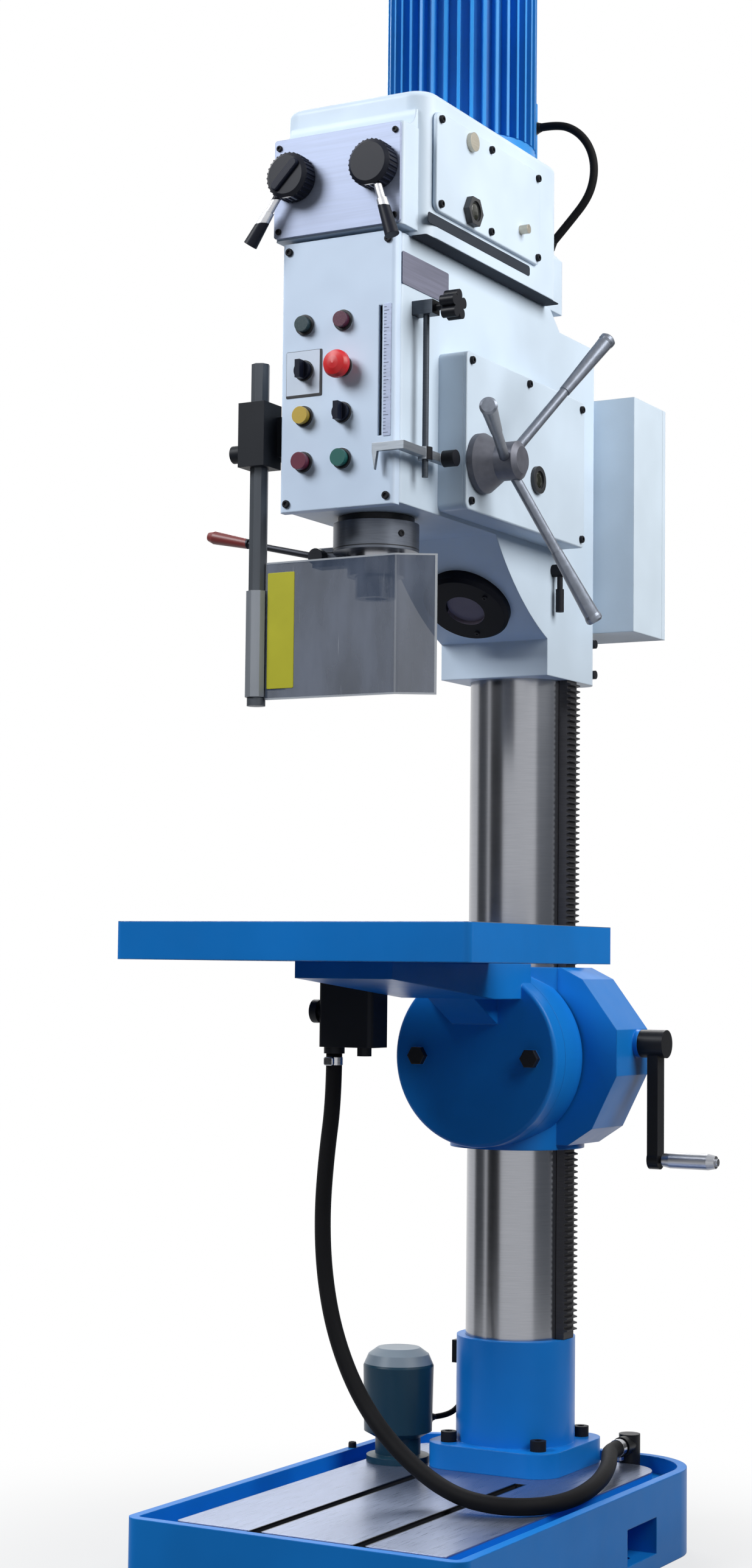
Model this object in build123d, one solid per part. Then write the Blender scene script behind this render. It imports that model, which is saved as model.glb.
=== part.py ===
from build123d import *
import math
import os

# Geared column drill press. Millimetres, +Z up, the operator stands on the -Y side.
# The origin is on the floor, at the centre of the base's hold-down bolts.
# Every reach is a distance forward (-Y) of the column axis.

# Fits
running_fit = 0.05
air_gap = 0.4

# Base casting
column_setback = 345.0
base_width = 538.0
base_front_reach = 695.0
base_rear_reach = 145.0
base_height = 130.0
base_front_radius = 22.0
base_rear_radius = 110.0
base_wall = 16.0
base_deck = 46.0
base_rib = 12.0
base_ribs_along = 2
base_ribs_across = 3
rim_width = 15.0
trough_width = 39.0
trough_depth = 26.0
pad_drop = 8.0
base_slot_pitch = 166.0
base_slot_rear_reach = 150.0
slot_throat = 16.0
slot_throat_depth = 13.0
slot_width = 28.0
slot_depth = 25.0
hold_down_pitch_x = 478.0
hold_down_pitch_y = 460.0
hold_down_hole = 18.0
notch_width = 108.0
notch_height = 78.0
notch_depth = 52.0
notch_ledge = 24.0

# Pedestal and column
column_diameter = 160.0
column_bore = 124.0
column_top = 1890.0
pedestal_diameter = 188.0
pedestal_top = 323.0
flange_width = 224.0
flange_thickness = 38.0
flange_radius = 44.0
flange_bolt_pitch = 156.0
frame_bolt = 16.0
frame_bolt_head = 25.0
frame_bolt_head_height = 16.0

# Column rack
rack_module = 3.0
rack_width = 36.0
rack_depth = 18.0

# Table bracket and its lift
bracket_skirt = 5.0
bracket_wall = 27.0
tilt_height = 765.0
tilt_disc_diameter = 280.0
tilt_disc_reach = 117.6
tilt_disc_thickness = 34.0
tilt_pivot = 30.0
tilt_bolt = 16.0
tilt_bolt_circle = 196.0
tilt_tee = 26.0
tilt_tee_height = 8.0
tilt_lip = 9.0
lift_pinion_teeth = 14
lift_pinion_width = 32.0
worm_wheel_teeth = 28
worm_module = 2.5
worm_wheel_width = 20.0
worm_radius = 14.0
worm_length = 32.0
lift_shaft = 20.0
crank_rise = 22.0
crank_setback = 28.0
crank_shaft = 22.0
crank_boss_end = 240.0
crank_throw = 180.0
crank_arm_width = 26.0
crank_arm_thickness = 18.0
crank_foot = 30.0
crank_pin = 12.0
crank_grip_length = 88.0
crank_grip_diameter = 25.0
housing_side = 196.0
clamp_slit = 4.0
clamp_bolt = 14.0
clamp_lug_width = 26.0
clamp_lug_side = 150.0
clamp_lug_drop = 70.0
clamp_lug_rise = 85.0
tilt_disc_edge = 6.0
tilt_face_wall = 10.0

# Table
table_width = 566.0
table_front_reach = 718.0
table_rear_reach = 262.0
table_clearance = 5.0
table_thickness = 54.0
table_radius = 10.0
table_skirt = 18.0
table_plate = 32.0
table_rim = 14.0
table_trough = 20.0
table_trough_depth = 9.0
table_slot_pitch = 200.0
table_arm_width = 160.0
table_arm_height = 54.0
table_arm_reach = 560.0
drain_x = -165.0
drain_inset = 38.0
drain_outlet_inset = 19.0
drain_width = 94.0
drain_depth = 56.0
drain_height = 130.0
drain_corner = 8.0
drain_flange = 12.0
drain_flange_lip = 5.0
drain_spout = 32.0
drain_spout_length = 10.0
drain_knob = 36.0
drain_knob_length = 17.0
drain_knob_rise = 54.0
drain_plug = 22.0
drain_plug_length = 13.0

# Head casting
throat = 478.0
head_width = 188.0
head_front_reach = 580.0
head_rear_reach = -95.0
head_floor = 1557.0
throat_corner_reach = 277.0
collar_front_reach = 95.0
collar_top = 1419.0
throat_bulge = 15.0
collar_bottom = 1362.0
head_top = 1945.0
head_rear_top = 1915.0
head_radius = 9.0
head_rear_radius = 26.0
lamp_diameter = 138.0
lamp_lens = 62.0
lamp_height = 16.0
lamp_share = 0.55

# Quill, spindle and hand feed
quill_diameter = 84.0
quill_bottom = 1470.0
quill_top = 1850.0
quill_bore = 62.0
quill_travel = 180.0
feed_module = 2.0
feed_teeth = 18
feed_height = 1635.0
feed_rack_width = 24.0
feed_shaft = 28.0
collar_diameter = 126.0
collar_height = 42.0
collar_neck = 112.0
collar_neck_height = 10.0
lever_length = 195.0
lever_rise = 13.0
lever_drop = 2.0
lever_offset = 23.0
lever_lug = 28.0
lever_rod = 10.0
lever_grip = 20.0
lever_grip_length = 72.0
spindle_diameter = 44.0
spindle_nose = 60.0
spindle_nose_bottom = 1438.0
taper_mouth = 31.267
taper_end = 25.9
taper_depth = 107.0
spline_diameter = 30.0
spline_key = 6.0
spline_keys = 6
spindle_top = 2118.0

# Feed housing and capstan
feed_box_depth = 47.0
feed_box_lead = 43.0
feed_box_rear_reach = 62.0
feed_box_drop = 72.0
feed_box_rise = 160.0
feed_box_wall = 8.0
feed_cover_thickness = 6.0
capstan_arms = 3
capstan_arm_length = 267.0
capstan_arm_tilt = 21.2
capstan_phase = 54.3
capstan_rod = 15.0
capstan_grip_start = 150.0
capstan_grip_small = 17.0
capstan_grip_large = 25.0
hub_flange = 88.0
hub_nose = 56.0
hub_cone = 34.0
hub_arm_side = 183.0
hub_end_side = 210.0

# Front panel and its controls
panel_thickness = 17.0
panel_skin = 4.0
panel_bottom = 1553.0
control_left = -54.0
control_pitch_x = 64.0
control_top = 1823.0
control_pitch_z = 66.5
control_hole = 22.5
bezel_diameter = 30.0
bezel_height = 3.0
button_travel = 4.0
scale_slot_x = 71.0
scale_slot_width = 6.0
scale_slot_bottom = 1651.0
scale_slot_top = 1838.0

# Depth stop
depth_rod_side = 112.0
depth_rod_reach = 537.0
depth_rod_diameter = 9.0
depth_rod_bottom = 1598.0
depth_rod_top = 1850.0
depth_arm_height = 1632.0
depth_arm_bar = 12.0
depth_bracket_width = 22.0
depth_bracket_height = 20.0
depth_knob_stem = 16.0
depth_knob_core = 26.0
depth_knob_lobe = 16.0
depth_knob_length = 22.0

# Upper gearbox
gearbox_width = 244.0
gearbox_setback = 20.0
gearbox_rear_reach = 112.0
gearbox_top = 2158.0
gearbox_radius = 34.0
gearbox_wall = 11.0
gearbox_roof = 18.0
shift_box_width = 212.0
shift_box_depth = 40.0
shift_box_top = 2100.0
shift_box_cove = 28.0
shift_plate_thickness = 5.0
rear_hump_width = 184.0
rear_hump_reach = 45.0
rear_hump_top = 2062.0
rear_hump_chamfer = 30.0
cover_front_margin = 21.0
cover_rear_margin = 88.0
cover_bottom = 1983.0
cover_top = 2129.0
cover_thickness = 6.0
cover_lip = 22.0
sight_across = 46.0
filler_diameter = 28.0
feed_sight_diameter = 42.0
feed_sight_reach = 234.0

# Gear train, one speed in mesh
train_module = 2.5
motor_teeth = 20
high_gear_teeth = 46
high_pinion_teeth = 22
low_gear_teeth = 48
low_pinion_teeth = 24
drive_gear_teeth = 46
gear_face = 18.0
gear_level_low = 1972.0
gear_level_mid = 2020.0
gear_level_high = 2078.0
train_shaft = 24.0
sleeve_diameter = 46.0
bearing_wall = 9.0
bearing_height = 12.0
motor_shaft = 28.0

# Speed knobs
speed_knob_pitch = 136.0
speed_knob_height = 2036.0
speed_knob_diameter = 66.0
speed_knob_depth = 30.0
speed_shaft = 18.0
speed_lever_length = 113.0
speed_lever_left = -125.0
speed_lever_right = -72.0

# Motor
motor_diameter = 234.0
motor_core = 206.0
motor_fins = 36
motor_fin = 5.0
motor_body_top = 2425.0
cowl_top = 2492.0
cowl_wall = 3.0
motor_seat = 14.0
terminal_width = 90.0
terminal_offset = 12.0
terminal_depth = 56.0
terminal_bottom = 2195.0
terminal_top = 2290.0
gland_length = 18.0
gland_diameter = 24.0

# Electrical cabinet
cabinet_width = 314.0
cabinet_depth = 132.0
cabinet_bottom = 1450.0
cabinet_top = 1835.0
cabinet_wall = 4.0
door_thickness = 16.0
switch_width = 48.0
switch_pitch = 60.0
switch_depth = 62.0
switch_height = 75.0
switch_rise = 40.0
mount_plate_margin = 27.0

# Coolant pump
pump_x = -166.0
pump_reach = 84.0
pump_flange = 100.0
pump_neck = 72.0
pump_body = 112.0
pump_height = 178.0
pump_gland_rise = 62.0
pump_outlet_side = 108.0
pump_outlet_setback = 40.0
pump_cable_run = 27.0

# Guard
guard_rod_x = -133.0
guard_rod_reach = 590.0
guard_rod_width = 25.0
guard_rod_bottom = 1288.0
guard_rod_top = 1775.0
guard_clamp_bottom = 1622.0
guard_clamp_top = 1716.0
guard_sheet_bottom = 1284.0
guard_sheet_top = 1483.0
guard_sheet_width = 212.0
guard_wing = 60.0
guard_wing_angle = 32.0
guard_sheet_thickness = 5.0
guard_sleeve_top = 1443.0
guard_sleeve_wall = 5.0

# Cords
hose_diameter = 25.0
motor_cable_diameter = 13.0
pump_cable_diameter = 9.0

# Tooth proportions shared by every gear and rack, in modules and in pitches
addendum = 0.85
dedendum = 1.25
tooth_root_half = 0.31
tooth_tip_half = 0.10

# Cylinders and cones that grow from their own foot
MIN_END = (Align.CENTER, Align.CENTER, Align.MIN)

# Places that follow from the sizes above


def fwd(reach):
    return column_setback - reach


column_radius = column_diameter / 2
pad_top = base_height - pad_drop
bracket_top = tilt_height + tilt_disc_diameter / 2
bracket_bottom = tilt_height - tilt_disc_diameter / 2 - bracket_skirt
crank_height = tilt_height + crank_rise
gearbox_front_reach = head_front_reach - gearbox_setback
shift_box_reach = gearbox_front_reach + shift_box_depth
cover_front_reach = gearbox_front_reach - cover_front_margin
cover_rear_reach = gearbox_rear_reach + cover_rear_margin
trough_floor = base_height - trough_depth
spindle_y = fwd(throat)
head_side = head_width / 2
feed_side = head_side + feed_box_depth
cover_face = gearbox_width / 2 + cover_thickness
panel_face_reach = head_front_reach + panel_thickness
table_floor = bracket_top + table_clearance
table_top_height = table_floor + table_thickness
table_arm_floor = table_floor - table_arm_height
drain_reach = table_rear_reach + drain_inset
bracket_radius = column_radius + bracket_wall
rack_tip = column_radius + air_gap + rack_depth
rack_pitch_line = rack_tip - addendum * rack_module
lift_pinion_radius = rack_module * lift_pinion_teeth / 2
lift_pinion_x = rack_pitch_line + lift_pinion_radius
worm_wheel_radius = worm_module * worm_wheel_teeth / 2
lift_pinion_z = crank_height - worm_radius - worm_wheel_radius
crank_y = column_setback + crank_setback
feed_rack_tip = math.sqrt(quill_diameter ** 2 - feed_rack_width ** 2) / 2 - air_gap
feed_pitch_line = feed_rack_tip - addendum * feed_module
feed_pinion_radius = feed_module * feed_teeth / 2
feed_y = spindle_y + feed_pitch_line + feed_pinion_radius
feed_box_front = feed_y - feed_box_lead
feed_box_bottom = feed_height - feed_box_drop
feed_box_top = feed_height + feed_box_rise
low_shaft_y = spindle_y + train_module * (drive_gear_teeth + low_pinion_teeth) / 2
high_shaft_y = low_shaft_y + train_module * (low_gear_teeth + high_pinion_teeth) / 2
motor_y = high_shaft_y + train_module * (high_gear_teeth + motor_teeth) / 2
cabinet_y = fwd(head_rear_reach)
door_y = cabinet_y + cabinet_depth
roof_under = gearbox_top - gearbox_roof


# Shape helpers


def block(x, y, z):
    size = [abs(span[1] - span[0]) for span in (x, y, z)]
    middle = [(span[0] + span[1]) / 2 for span in (x, y, z)]
    return Pos(*middle) * Box(*size)


def rod_x(x, y, z, diameter):
    return Pos((x[0] + x[1]) / 2, y, z) * Rot(0, 90, 0) * Cylinder(diameter / 2, x[1] - x[0])


def rod_y(x, y, z, diameter):
    return Pos(x, (y[0] + y[1]) / 2, z) * Rot(90, 0, 0) * Cylinder(diameter / 2, y[1] - y[0])


def rod_z(x, y, z, diameter):
    return Pos(x, y, (z[0] + z[1]) / 2) * Cylinder(diameter / 2, z[1] - z[0])


def ring_z(x, y, z, outer, inner):
    return rod_z(x, y, z, outer) - rod_z(x, y, z, inner)


def slab(width, y, z, radius):
    plan = Pos(0, (y[0] + y[1]) / 2, z[0]) * RectangleRounded(width, y[1] - y[0], radius)
    return extrude(plan, z[1] - z[0])


def prism_x(outline, x):
    face = Plane.YZ.offset(x[0]) * make_face(Polyline(*outline, close=True))
    return extrude(face, x[1] - x[0])


def prism_y(outline, y):
    face = Plane.XZ.offset(-y[1]) * make_face(Polyline(*outline, close=True))
    return extrude(face, y[1] - y[0])


def turned_z(x, y, profile):
    face = Plane.XZ * make_face(Polyline(*profile, close=True))
    return Pos(x, y, 0) * revolve(face, Axis.Z)


def turned_x(y, z, profile):
    face = Plane.XY * make_face(Polyline(*profile, close=True))
    return Pos(0, y, z) * revolve(face, Axis.X)


def gear_face_outline(teeth, module, tooth_angle):
    pitch = 2 * math.pi / teeth
    root = module * (teeth / 2 - dedendum)
    tip = module * (teeth / 2 + addendum)
    corners = ((root, -tooth_root_half), (tip, -tooth_tip_half), (tip, tooth_tip_half), (root, tooth_root_half))
    points = []
    for tooth in range(teeth):
        middle = math.radians(tooth_angle) + tooth * pitch
        for radius, half in corners:
            angle = middle + half * pitch
            points.append((radius * math.cos(angle), radius * math.sin(angle)))
    return make_face(Polyline(*points, close=True))


def gear_z(x, y, z, teeth, module, tooth_angle):
    return extrude(Pos(x, y, z[0]) * gear_face_outline(teeth, module, tooth_angle), z[1] - z[0])


def gear_x(x, y, z, teeth, module, tooth_angle):
    face = Plane.YZ.offset(x[0]) * Pos(y, z) * gear_face_outline(teeth, module, tooth_angle)
    return extrude(face, x[1] - x[0])


def gear_y(x, y, z, teeth, module, tooth_angle):
    face = Plane.XZ.offset(-y[1]) * Pos(x, z) * gear_face_outline(teeth, module, tooth_angle)
    return extrude(face, y[1] - y[0])


def rack_profile(back, tip, module, bottom, top, tooth_middle):
    pitch = math.pi * module
    root = tip - (addendum + dedendum) * module
    first = math.ceil((bottom + pitch / 2 - tooth_middle) / pitch)
    last = math.floor((top - pitch / 2 - tooth_middle) / pitch)
    points = [(back, bottom), (root, bottom)]
    for tooth in range(first, last + 1):
        middle = tooth_middle + tooth * pitch
        points.append((root, middle - tooth_root_half * pitch))
        points.append((tip, middle - tooth_tip_half * pitch))
        points.append((tip, middle + tooth_tip_half * pitch))
        points.append((root, middle + tooth_root_half * pitch))
    return points + [(root, top), (back, top)]


def cord(name, points, diameter):
    corners = [Vector(*point) for point in points]
    radii = []
    for before, here, after in zip(corners, corners[1:], corners[2:]):
        turn = math.radians((here - before).get_angle(after - here))
        shorter = min((here - before).length, (after - here).length)
        radii.append(0.45 * shorter / math.tan(turn / 2))
    path = FilletPolyline(*corners, radius=radii)
    start = Plane(origin=corners[0], z_dir=corners[1] - corners[0])
    tube = sweep(start * Circle(diameter / 2), path=path)
    share = tube.volume / (math.pi * diameter ** 2 / 4 * path.length)
    print(name, "length", round(path.length), "radii", [round(r) for r in radii], "volume", round(share, 4))
    return tube


# Base, pedestal and column


def base_plan(inset, z):
    length = base_front_reach + base_rear_reach - 2 * inset
    middle = column_setback + (base_rear_reach - base_front_reach) / 2
    plan = Pos(0, middle) * Rectangle(base_width - 2 * inset, length)
    plan = fillet(plan.vertices().sort_by(Axis.Y)[:2], max(base_front_radius - inset, base_rib / 2))
    plan = fillet(plan.vertices().sort_by(Axis.Y)[-2:], max(base_rear_radius - inset, base_rib))
    return Pos(0, 0, z) * plan


def tee_slot(x, y, top):
    throat_cut = block((x - slot_throat / 2, x + slot_throat / 2), y, (top - slot_depth, top + 1))
    wide_cut = block((x - slot_width / 2, x + slot_width / 2), y, (top - slot_depth, top - slot_throat_depth))
    return throat_cut + wide_cut


def hold_down_places():
    return [(sx * hold_down_pitch_x / 2, sy * hold_down_pitch_y / 2) for sx in (-1, 1) for sy in (-1, 1)]


def base_casting():
    pad_inset = rim_width + trough_width
    deck_under = pad_top - base_deck
    body = extrude(base_plan(0, 0), base_height)
    body -= extrude(base_plan(rim_width, trough_floor), trough_depth + 1)
    body += extrude(base_plan(pad_inset, trough_floor), pad_top - trough_floor)
    hollow = extrude(base_plan(base_wall, 0), deck_under)
    inner_width = base_width - 2 * base_wall
    inner_front = fwd(base_front_reach - base_wall)
    inner_rear = fwd(-base_rear_reach + base_wall)
    for rib in range(1, base_ribs_along + 1):
        x = -inner_width / 2 + rib * inner_width / (base_ribs_along + 1)
        hollow -= block((x - base_rib / 2, x + base_rib / 2), (inner_front, inner_rear), (0, deck_under))
    for rib in range(1, base_ribs_across + 1):
        y = inner_front + rib * (inner_rear - inner_front) / (base_ribs_across + 1)
        hollow -= block((-inner_width / 2, inner_width / 2), (y - base_rib / 2, y + base_rib / 2), (0, deck_under))
    for x, y in hold_down_places():
        side = math.copysign(base_width / 2, x)
        inner = side - math.copysign(notch_depth + base_rib, x)
        half = notch_width / 2 + base_rib
        hollow -= block((min(inner, side), max(inner, side)), (y - half, y + half), (0, deck_under))
    body -= hollow
    for x, y in hold_down_places():
        inner = math.copysign(base_width / 2 - notch_depth, x)
        outer = math.copysign(base_width / 2 + 1, x)
        span = (min(inner, outer), max(inner, outer))
        body -= block(span, (y - notch_width / 2, y + notch_width / 2), (notch_ledge, notch_height))
        body -= rod_z(x, y, (-1, notch_ledge + 1), hold_down_hole)
    slot_y = (fwd(base_front_reach - pad_inset) - 1, fwd(base_slot_rear_reach))
    for side in (-1, 1):
        body -= tee_slot(side * base_slot_pitch / 2, slot_y, pad_top)
    return body


def flange_bolt_places():
    half = flange_bolt_pitch / 2
    return [(sx * half, column_setback + sy * half) for sx in (-1, 1) for sy in (-1, 1)]


def pedestal():
    flange_top = pad_top + flange_thickness
    flange_y = (column_setback - flange_width / 2, column_setback + flange_width / 2)
    body = slab(flange_width, flange_y, (pad_top, flange_top), flange_radius)
    body += rod_z(0, column_setback, (pad_top, pedestal_top), pedestal_diameter)
    body -= rod_z(0, column_setback, (pad_top - 1, pedestal_top + 1), column_diameter + 2 * running_fit)
    for x, y in flange_bolt_places():
        body -= rod_z(x, y, (pad_top - 1, flange_top + 1), frame_bolt + air_gap)
    return body


def socket_bolt(x, y, bottom, seat):
    bolt = rod_z(x, y, (bottom, seat), frame_bolt)
    bolt += rod_z(x, y, (seat, seat + frame_bolt_head_height), frame_bolt_head)
    key = Pos(x, y, seat + frame_bolt_head_height / 2) * RegularPolygon(frame_bolt * 0.4, 6)
    return bolt - extrude(key, frame_bolt_head_height)


def head_bolt_places():
    middle = (collar_bottom + cabinet_bottom) / 2
    return [middle - frame_bolt_head, middle + frame_bolt_head]


def head_bolt_y():
    return column_setback + (column_radius + head_side) / 2


def hex_bolt_x(x, y, z, diameter):
    head = Plane.YZ.offset(x[0]) * Pos(y, z) * RegularPolygon(diameter * 0.95, 6)
    return rod_x(x, y, z, diameter) + extrude(head, -diameter * 0.65)


def frame_bolts():
    flange_top = pad_top + flange_thickness
    bolts = [socket_bolt(x, y, pad_top, flange_top) for x, y in flange_bolt_places()]
    return bolts


def column():
    return ring_z(0, column_setback, (pad_top, column_top), column_diameter, column_bore)


def column_rack():
    bottom = pedestal_top + air_gap
    top = collar_bottom - air_gap
    back = column_radius - rack_depth / 2
    tooth_middle = lift_pinion_z + math.pi * rack_module / 2
    outline = rack_profile(back, rack_tip, rack_module, bottom, top, tooth_middle)
    half = rack_width / 2
    bar = prism_y(outline, (column_setback - half, column_setback + half))
    return bar - rod_z(0, column_setback, (bottom - 1, top + 1), column_diameter + 2 * air_gap)


# Table bracket, lift and crank


def lift_pinion_span():
    return (column_setback - rack_width / 2, column_setback - rack_width / 2 + lift_pinion_width)


def worm_wheel_span():
    return (crank_y - worm_wheel_width / 2, crank_y + worm_wheel_width / 2)


def tilt_bolt_places():
    return [-tilt_bolt_circle / 2, tilt_bolt_circle / 2]


def tilt_tee_span():
    front = fwd(tilt_disc_reach) + tilt_lip + air_gap
    return (front, front + tilt_tee_height)


def tilt_ring(y, width):
    outer = rod_y(0, y, tilt_height, tilt_bolt_circle + width)
    return outer - rod_y(0, (y[0] - 1, y[1] + 1), tilt_height, tilt_bolt_circle - width)


def table_bracket():
    height = (bracket_bottom, bracket_top)
    body = Pos(0, column_setback) * Rot(0, 0, 180) * rod_z(0, 0, height, 2 * bracket_radius)
    disc_y = (fwd(tilt_disc_reach), fwd(tilt_disc_reach - tilt_disc_thickness - bracket_wall))
    body += rod_y(0, disc_y, tilt_height, tilt_disc_diameter)
    wheel_reach = worm_wheel_radius + worm_module
    shoulder = crank_height + crank_shaft + air_gap
    lower = bracket_bottom + bracket_wall * 1.3
    outline = [(column_radius / 2, bracket_bottom + 8), (bracket_radius + 6, bracket_bottom + 8)]
    outline += [(lift_pinion_x + wheel_reach, lower), (housing_side, lift_pinion_z), (housing_side, shoulder)]
    outline += [(lift_pinion_x + lift_shaft, bracket_top - 18), (bracket_radius - 8, bracket_top)]
    outline += [(column_radius / 2, bracket_top)]
    housing_y = (column_setback - rack_width / 2 - 34, worm_wheel_span()[1] + 28)
    body += prism_y(outline, housing_y)
    body += rod_x((housing_side - 30, housing_side + 8), crank_y, crank_height, crank_shaft * 2)
    lug_y = (column_setback - clamp_lug_width, column_setback + clamp_lug_width)
    body += block((-clamp_lug_side, -column_radius), lug_y, (tilt_height - clamp_lug_drop, tilt_height + clamp_lug_rise))
    bore = column_diameter + 2 * running_fit
    body -= rod_z(0, column_setback, (bracket_bottom - 1, bracket_top + 1), bore)
    body -= block((-clamp_lug_side - 1, -column_radius / 2),
                  (column_setback - clamp_slit / 2, column_setback + clamp_slit / 2),
                  (bracket_bottom - 1, bracket_top + 1))
    rack_room = rack_width / 2 + air_gap
    body -= block((column_radius / 2, rack_tip + 2 * air_gap),
                  (column_setback - rack_room, column_setback + rack_room),
                  (bracket_bottom - 1, bracket_top + 1))
    pinion_room = 2 * (lift_pinion_radius + addendum * rack_module + 2 * air_gap)
    wheel_room = 2 * (worm_wheel_radius + worm_module + air_gap)
    pinion_y = (lift_pinion_span()[0] - 2 * air_gap, worm_wheel_span()[0])
    body -= rod_y(lift_pinion_x, pinion_y, lift_pinion_z, pinion_room)
    wheel_y = (worm_wheel_span()[0] - air_gap, worm_wheel_span()[1] + air_gap)
    body -= rod_y(lift_pinion_x, wheel_y, lift_pinion_z, wheel_room)
    shaft_y = (lift_pinion_span()[0] - 22, worm_wheel_span()[1] + 22)
    body -= rod_y(lift_pinion_x, shaft_y, lift_pinion_z, lift_shaft + 2 * running_fit)
    worm_x = (lift_pinion_x - worm_length / 2 - air_gap, lift_pinion_x + worm_length / 2 + air_gap)
    body -= rod_x(worm_x, crank_y, crank_height, 2 * (worm_radius + worm_module + air_gap))
    body -= rod_x((worm_x[0], housing_side + 9), crank_y, crank_height, crank_shaft + 2 * running_fit)
    tee = tilt_tee_span()
    body -= tilt_ring((disc_y[0] - 1, tee[0]), tilt_bolt + 2 * air_gap)
    body -= tilt_ring((tee[0] - air_gap, tee[1] + air_gap), tilt_tee + 2 * air_gap)
    body -= rod_y(0, (disc_y[0] - 1, disc_y[1] - 12), tilt_height, tilt_pivot + air_gap)
    for z in bracket_clamp_heights():
        body -= rod_y(clamp_bolt_x(), (lug_y[0] - 1, lug_y[1] + 1), z, clamp_bolt + air_gap)
    return body


def clamp_bolt_x():
    return -(bracket_radius + clamp_lug_side) / 2


def bracket_clamp_heights():
    return [tilt_height - clamp_lug_drop * 0.57, tilt_height + clamp_lug_rise * 0.65]


def hex_bolt_y(x, y, z, diameter):
    head = Plane.XZ.offset(-y[0]) * Pos(x, z) * RegularPolygon(diameter * 0.95, 6)
    return rod_y(x, y, z, diameter) + extrude(head, diameter * 0.65)


def table_disc_span():
    face = fwd(tilt_disc_reach) - air_gap
    return (face - tilt_disc_thickness, face)


def bracket_bolts():
    disc_front = table_disc_span()[0]
    inner = fwd(tilt_disc_reach - tilt_disc_thickness)
    bolts = [rod_y(0, (disc_front + tilt_face_wall + air_gap, inner), tilt_height, tilt_pivot)]
    lug = (column_setback - clamp_lug_width, column_setback + clamp_lug_width)
    bolts += [hex_bolt_y(clamp_bolt_x(), lug, z, clamp_bolt) for z in bracket_clamp_heights()]
    return bolts


def lift_pinion():
    ends = (lift_pinion_span()[0] - 20, worm_wheel_span()[1] + 20)
    body = rod_y(lift_pinion_x, ends, lift_pinion_z, lift_shaft)
    body += gear_y(lift_pinion_x, lift_pinion_span(), lift_pinion_z, lift_pinion_teeth, rack_module, 180)
    wheel_gap = 90 + 180 / worm_wheel_teeth
    body += gear_y(lift_pinion_x, worm_wheel_span(), lift_pinion_z, worm_wheel_teeth, worm_module, wheel_gap)
    return body


def crank():
    start = lift_pinion_x - worm_length / 2
    core = 2 * (worm_radius - addendum * worm_module - air_gap)
    shaft = rod_x((start + worm_length, crank_boss_end), crank_y, crank_height, crank_shaft)
    shaft += rod_x((start, start + worm_length), crank_y, crank_height, core)
    arm_x = (crank_boss_end - 4 - crank_arm_thickness, crank_boss_end - 4)
    half = crank_arm_width / 2
    boss = rod_x((housing_side + 8 + air_gap, crank_boss_end + 6), crank_y, crank_height, crank_shaft * 2)
    lower = crank_height - crank_throw
    arm = block(arm_x, (crank_y - half, crank_y + half), (lower, crank_height))
    foot = rod_x(arm_x, crank_y, lower, crank_foot)
    pin = rod_x((arm_x[1], crank_boss_end + crank_grip_length + 4), crank_y, lower, crank_pin)
    return shaft + boss + arm + foot + pin


def crank_grip():
    start = crank_boss_end + air_gap
    lower = crank_height - crank_throw
    bore = crank_pin / 2 + running_fit
    thick = crank_grip_diameter / 2
    end = start + crank_grip_length
    profile = [(start, bore), (start, thick * 0.8), (start + thick, thick), (end - thick, thick)]
    profile += [(end, thick * 0.8), (end, bore)]
    return turned_x(crank_y, lower, profile)


# Table


def table_span():
    return (fwd(table_front_reach), fwd(table_rear_reach))


def table_top():
    y = table_span()
    body = slab(table_width, y, (table_floor, table_top_height), table_radius)
    under = table_top_height - table_plate
    inset = table_skirt
    hollow = slab(table_width - 2 * inset, (y[0] + inset, y[1] - inset), (table_floor - 1, under), table_radius)
    arm_half = table_arm_width / 2 + 6
    hollow -= block((-arm_half, arm_half), y, (table_floor - 1, under))
    middle = (y[0] + y[1]) / 2
    hollow -= block((-table_width / 2, table_width / 2), (middle - 8, middle + 8), (table_floor - 1, under))
    boss_x, boss_y = drain_flange_span()
    hollow -= block(boss_x, (boss_y[0], y[1]), (table_floor - 1, under))
    body -= hollow
    ring = (table_rim, table_rim + table_trough)
    outer = slab(table_width - 2 * ring[0], (y[0] + ring[0], y[1] - ring[0]),
                 (table_top_height - table_trough_depth, table_top_height + 1), table_radius)
    inner = slab(table_width - 2 * ring[1], (y[0] + ring[1], y[1] - ring[1]),
                 (table_top_height - table_trough_depth - 1, table_top_height + 2), table_radius)
    body -= outer - inner
    slot_y = (y[0] + ring[1] - 1, y[1] - ring[1] + 1)
    for side in (-1, 1):
        body -= tee_slot(side * table_slot_pitch / 2, slot_y, table_top_height)
    body -= rod_z(drain_x, fwd(drain_reach), (table_floor - 1, table_top_height + 1), drain_spout / 2)
    return body


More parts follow.
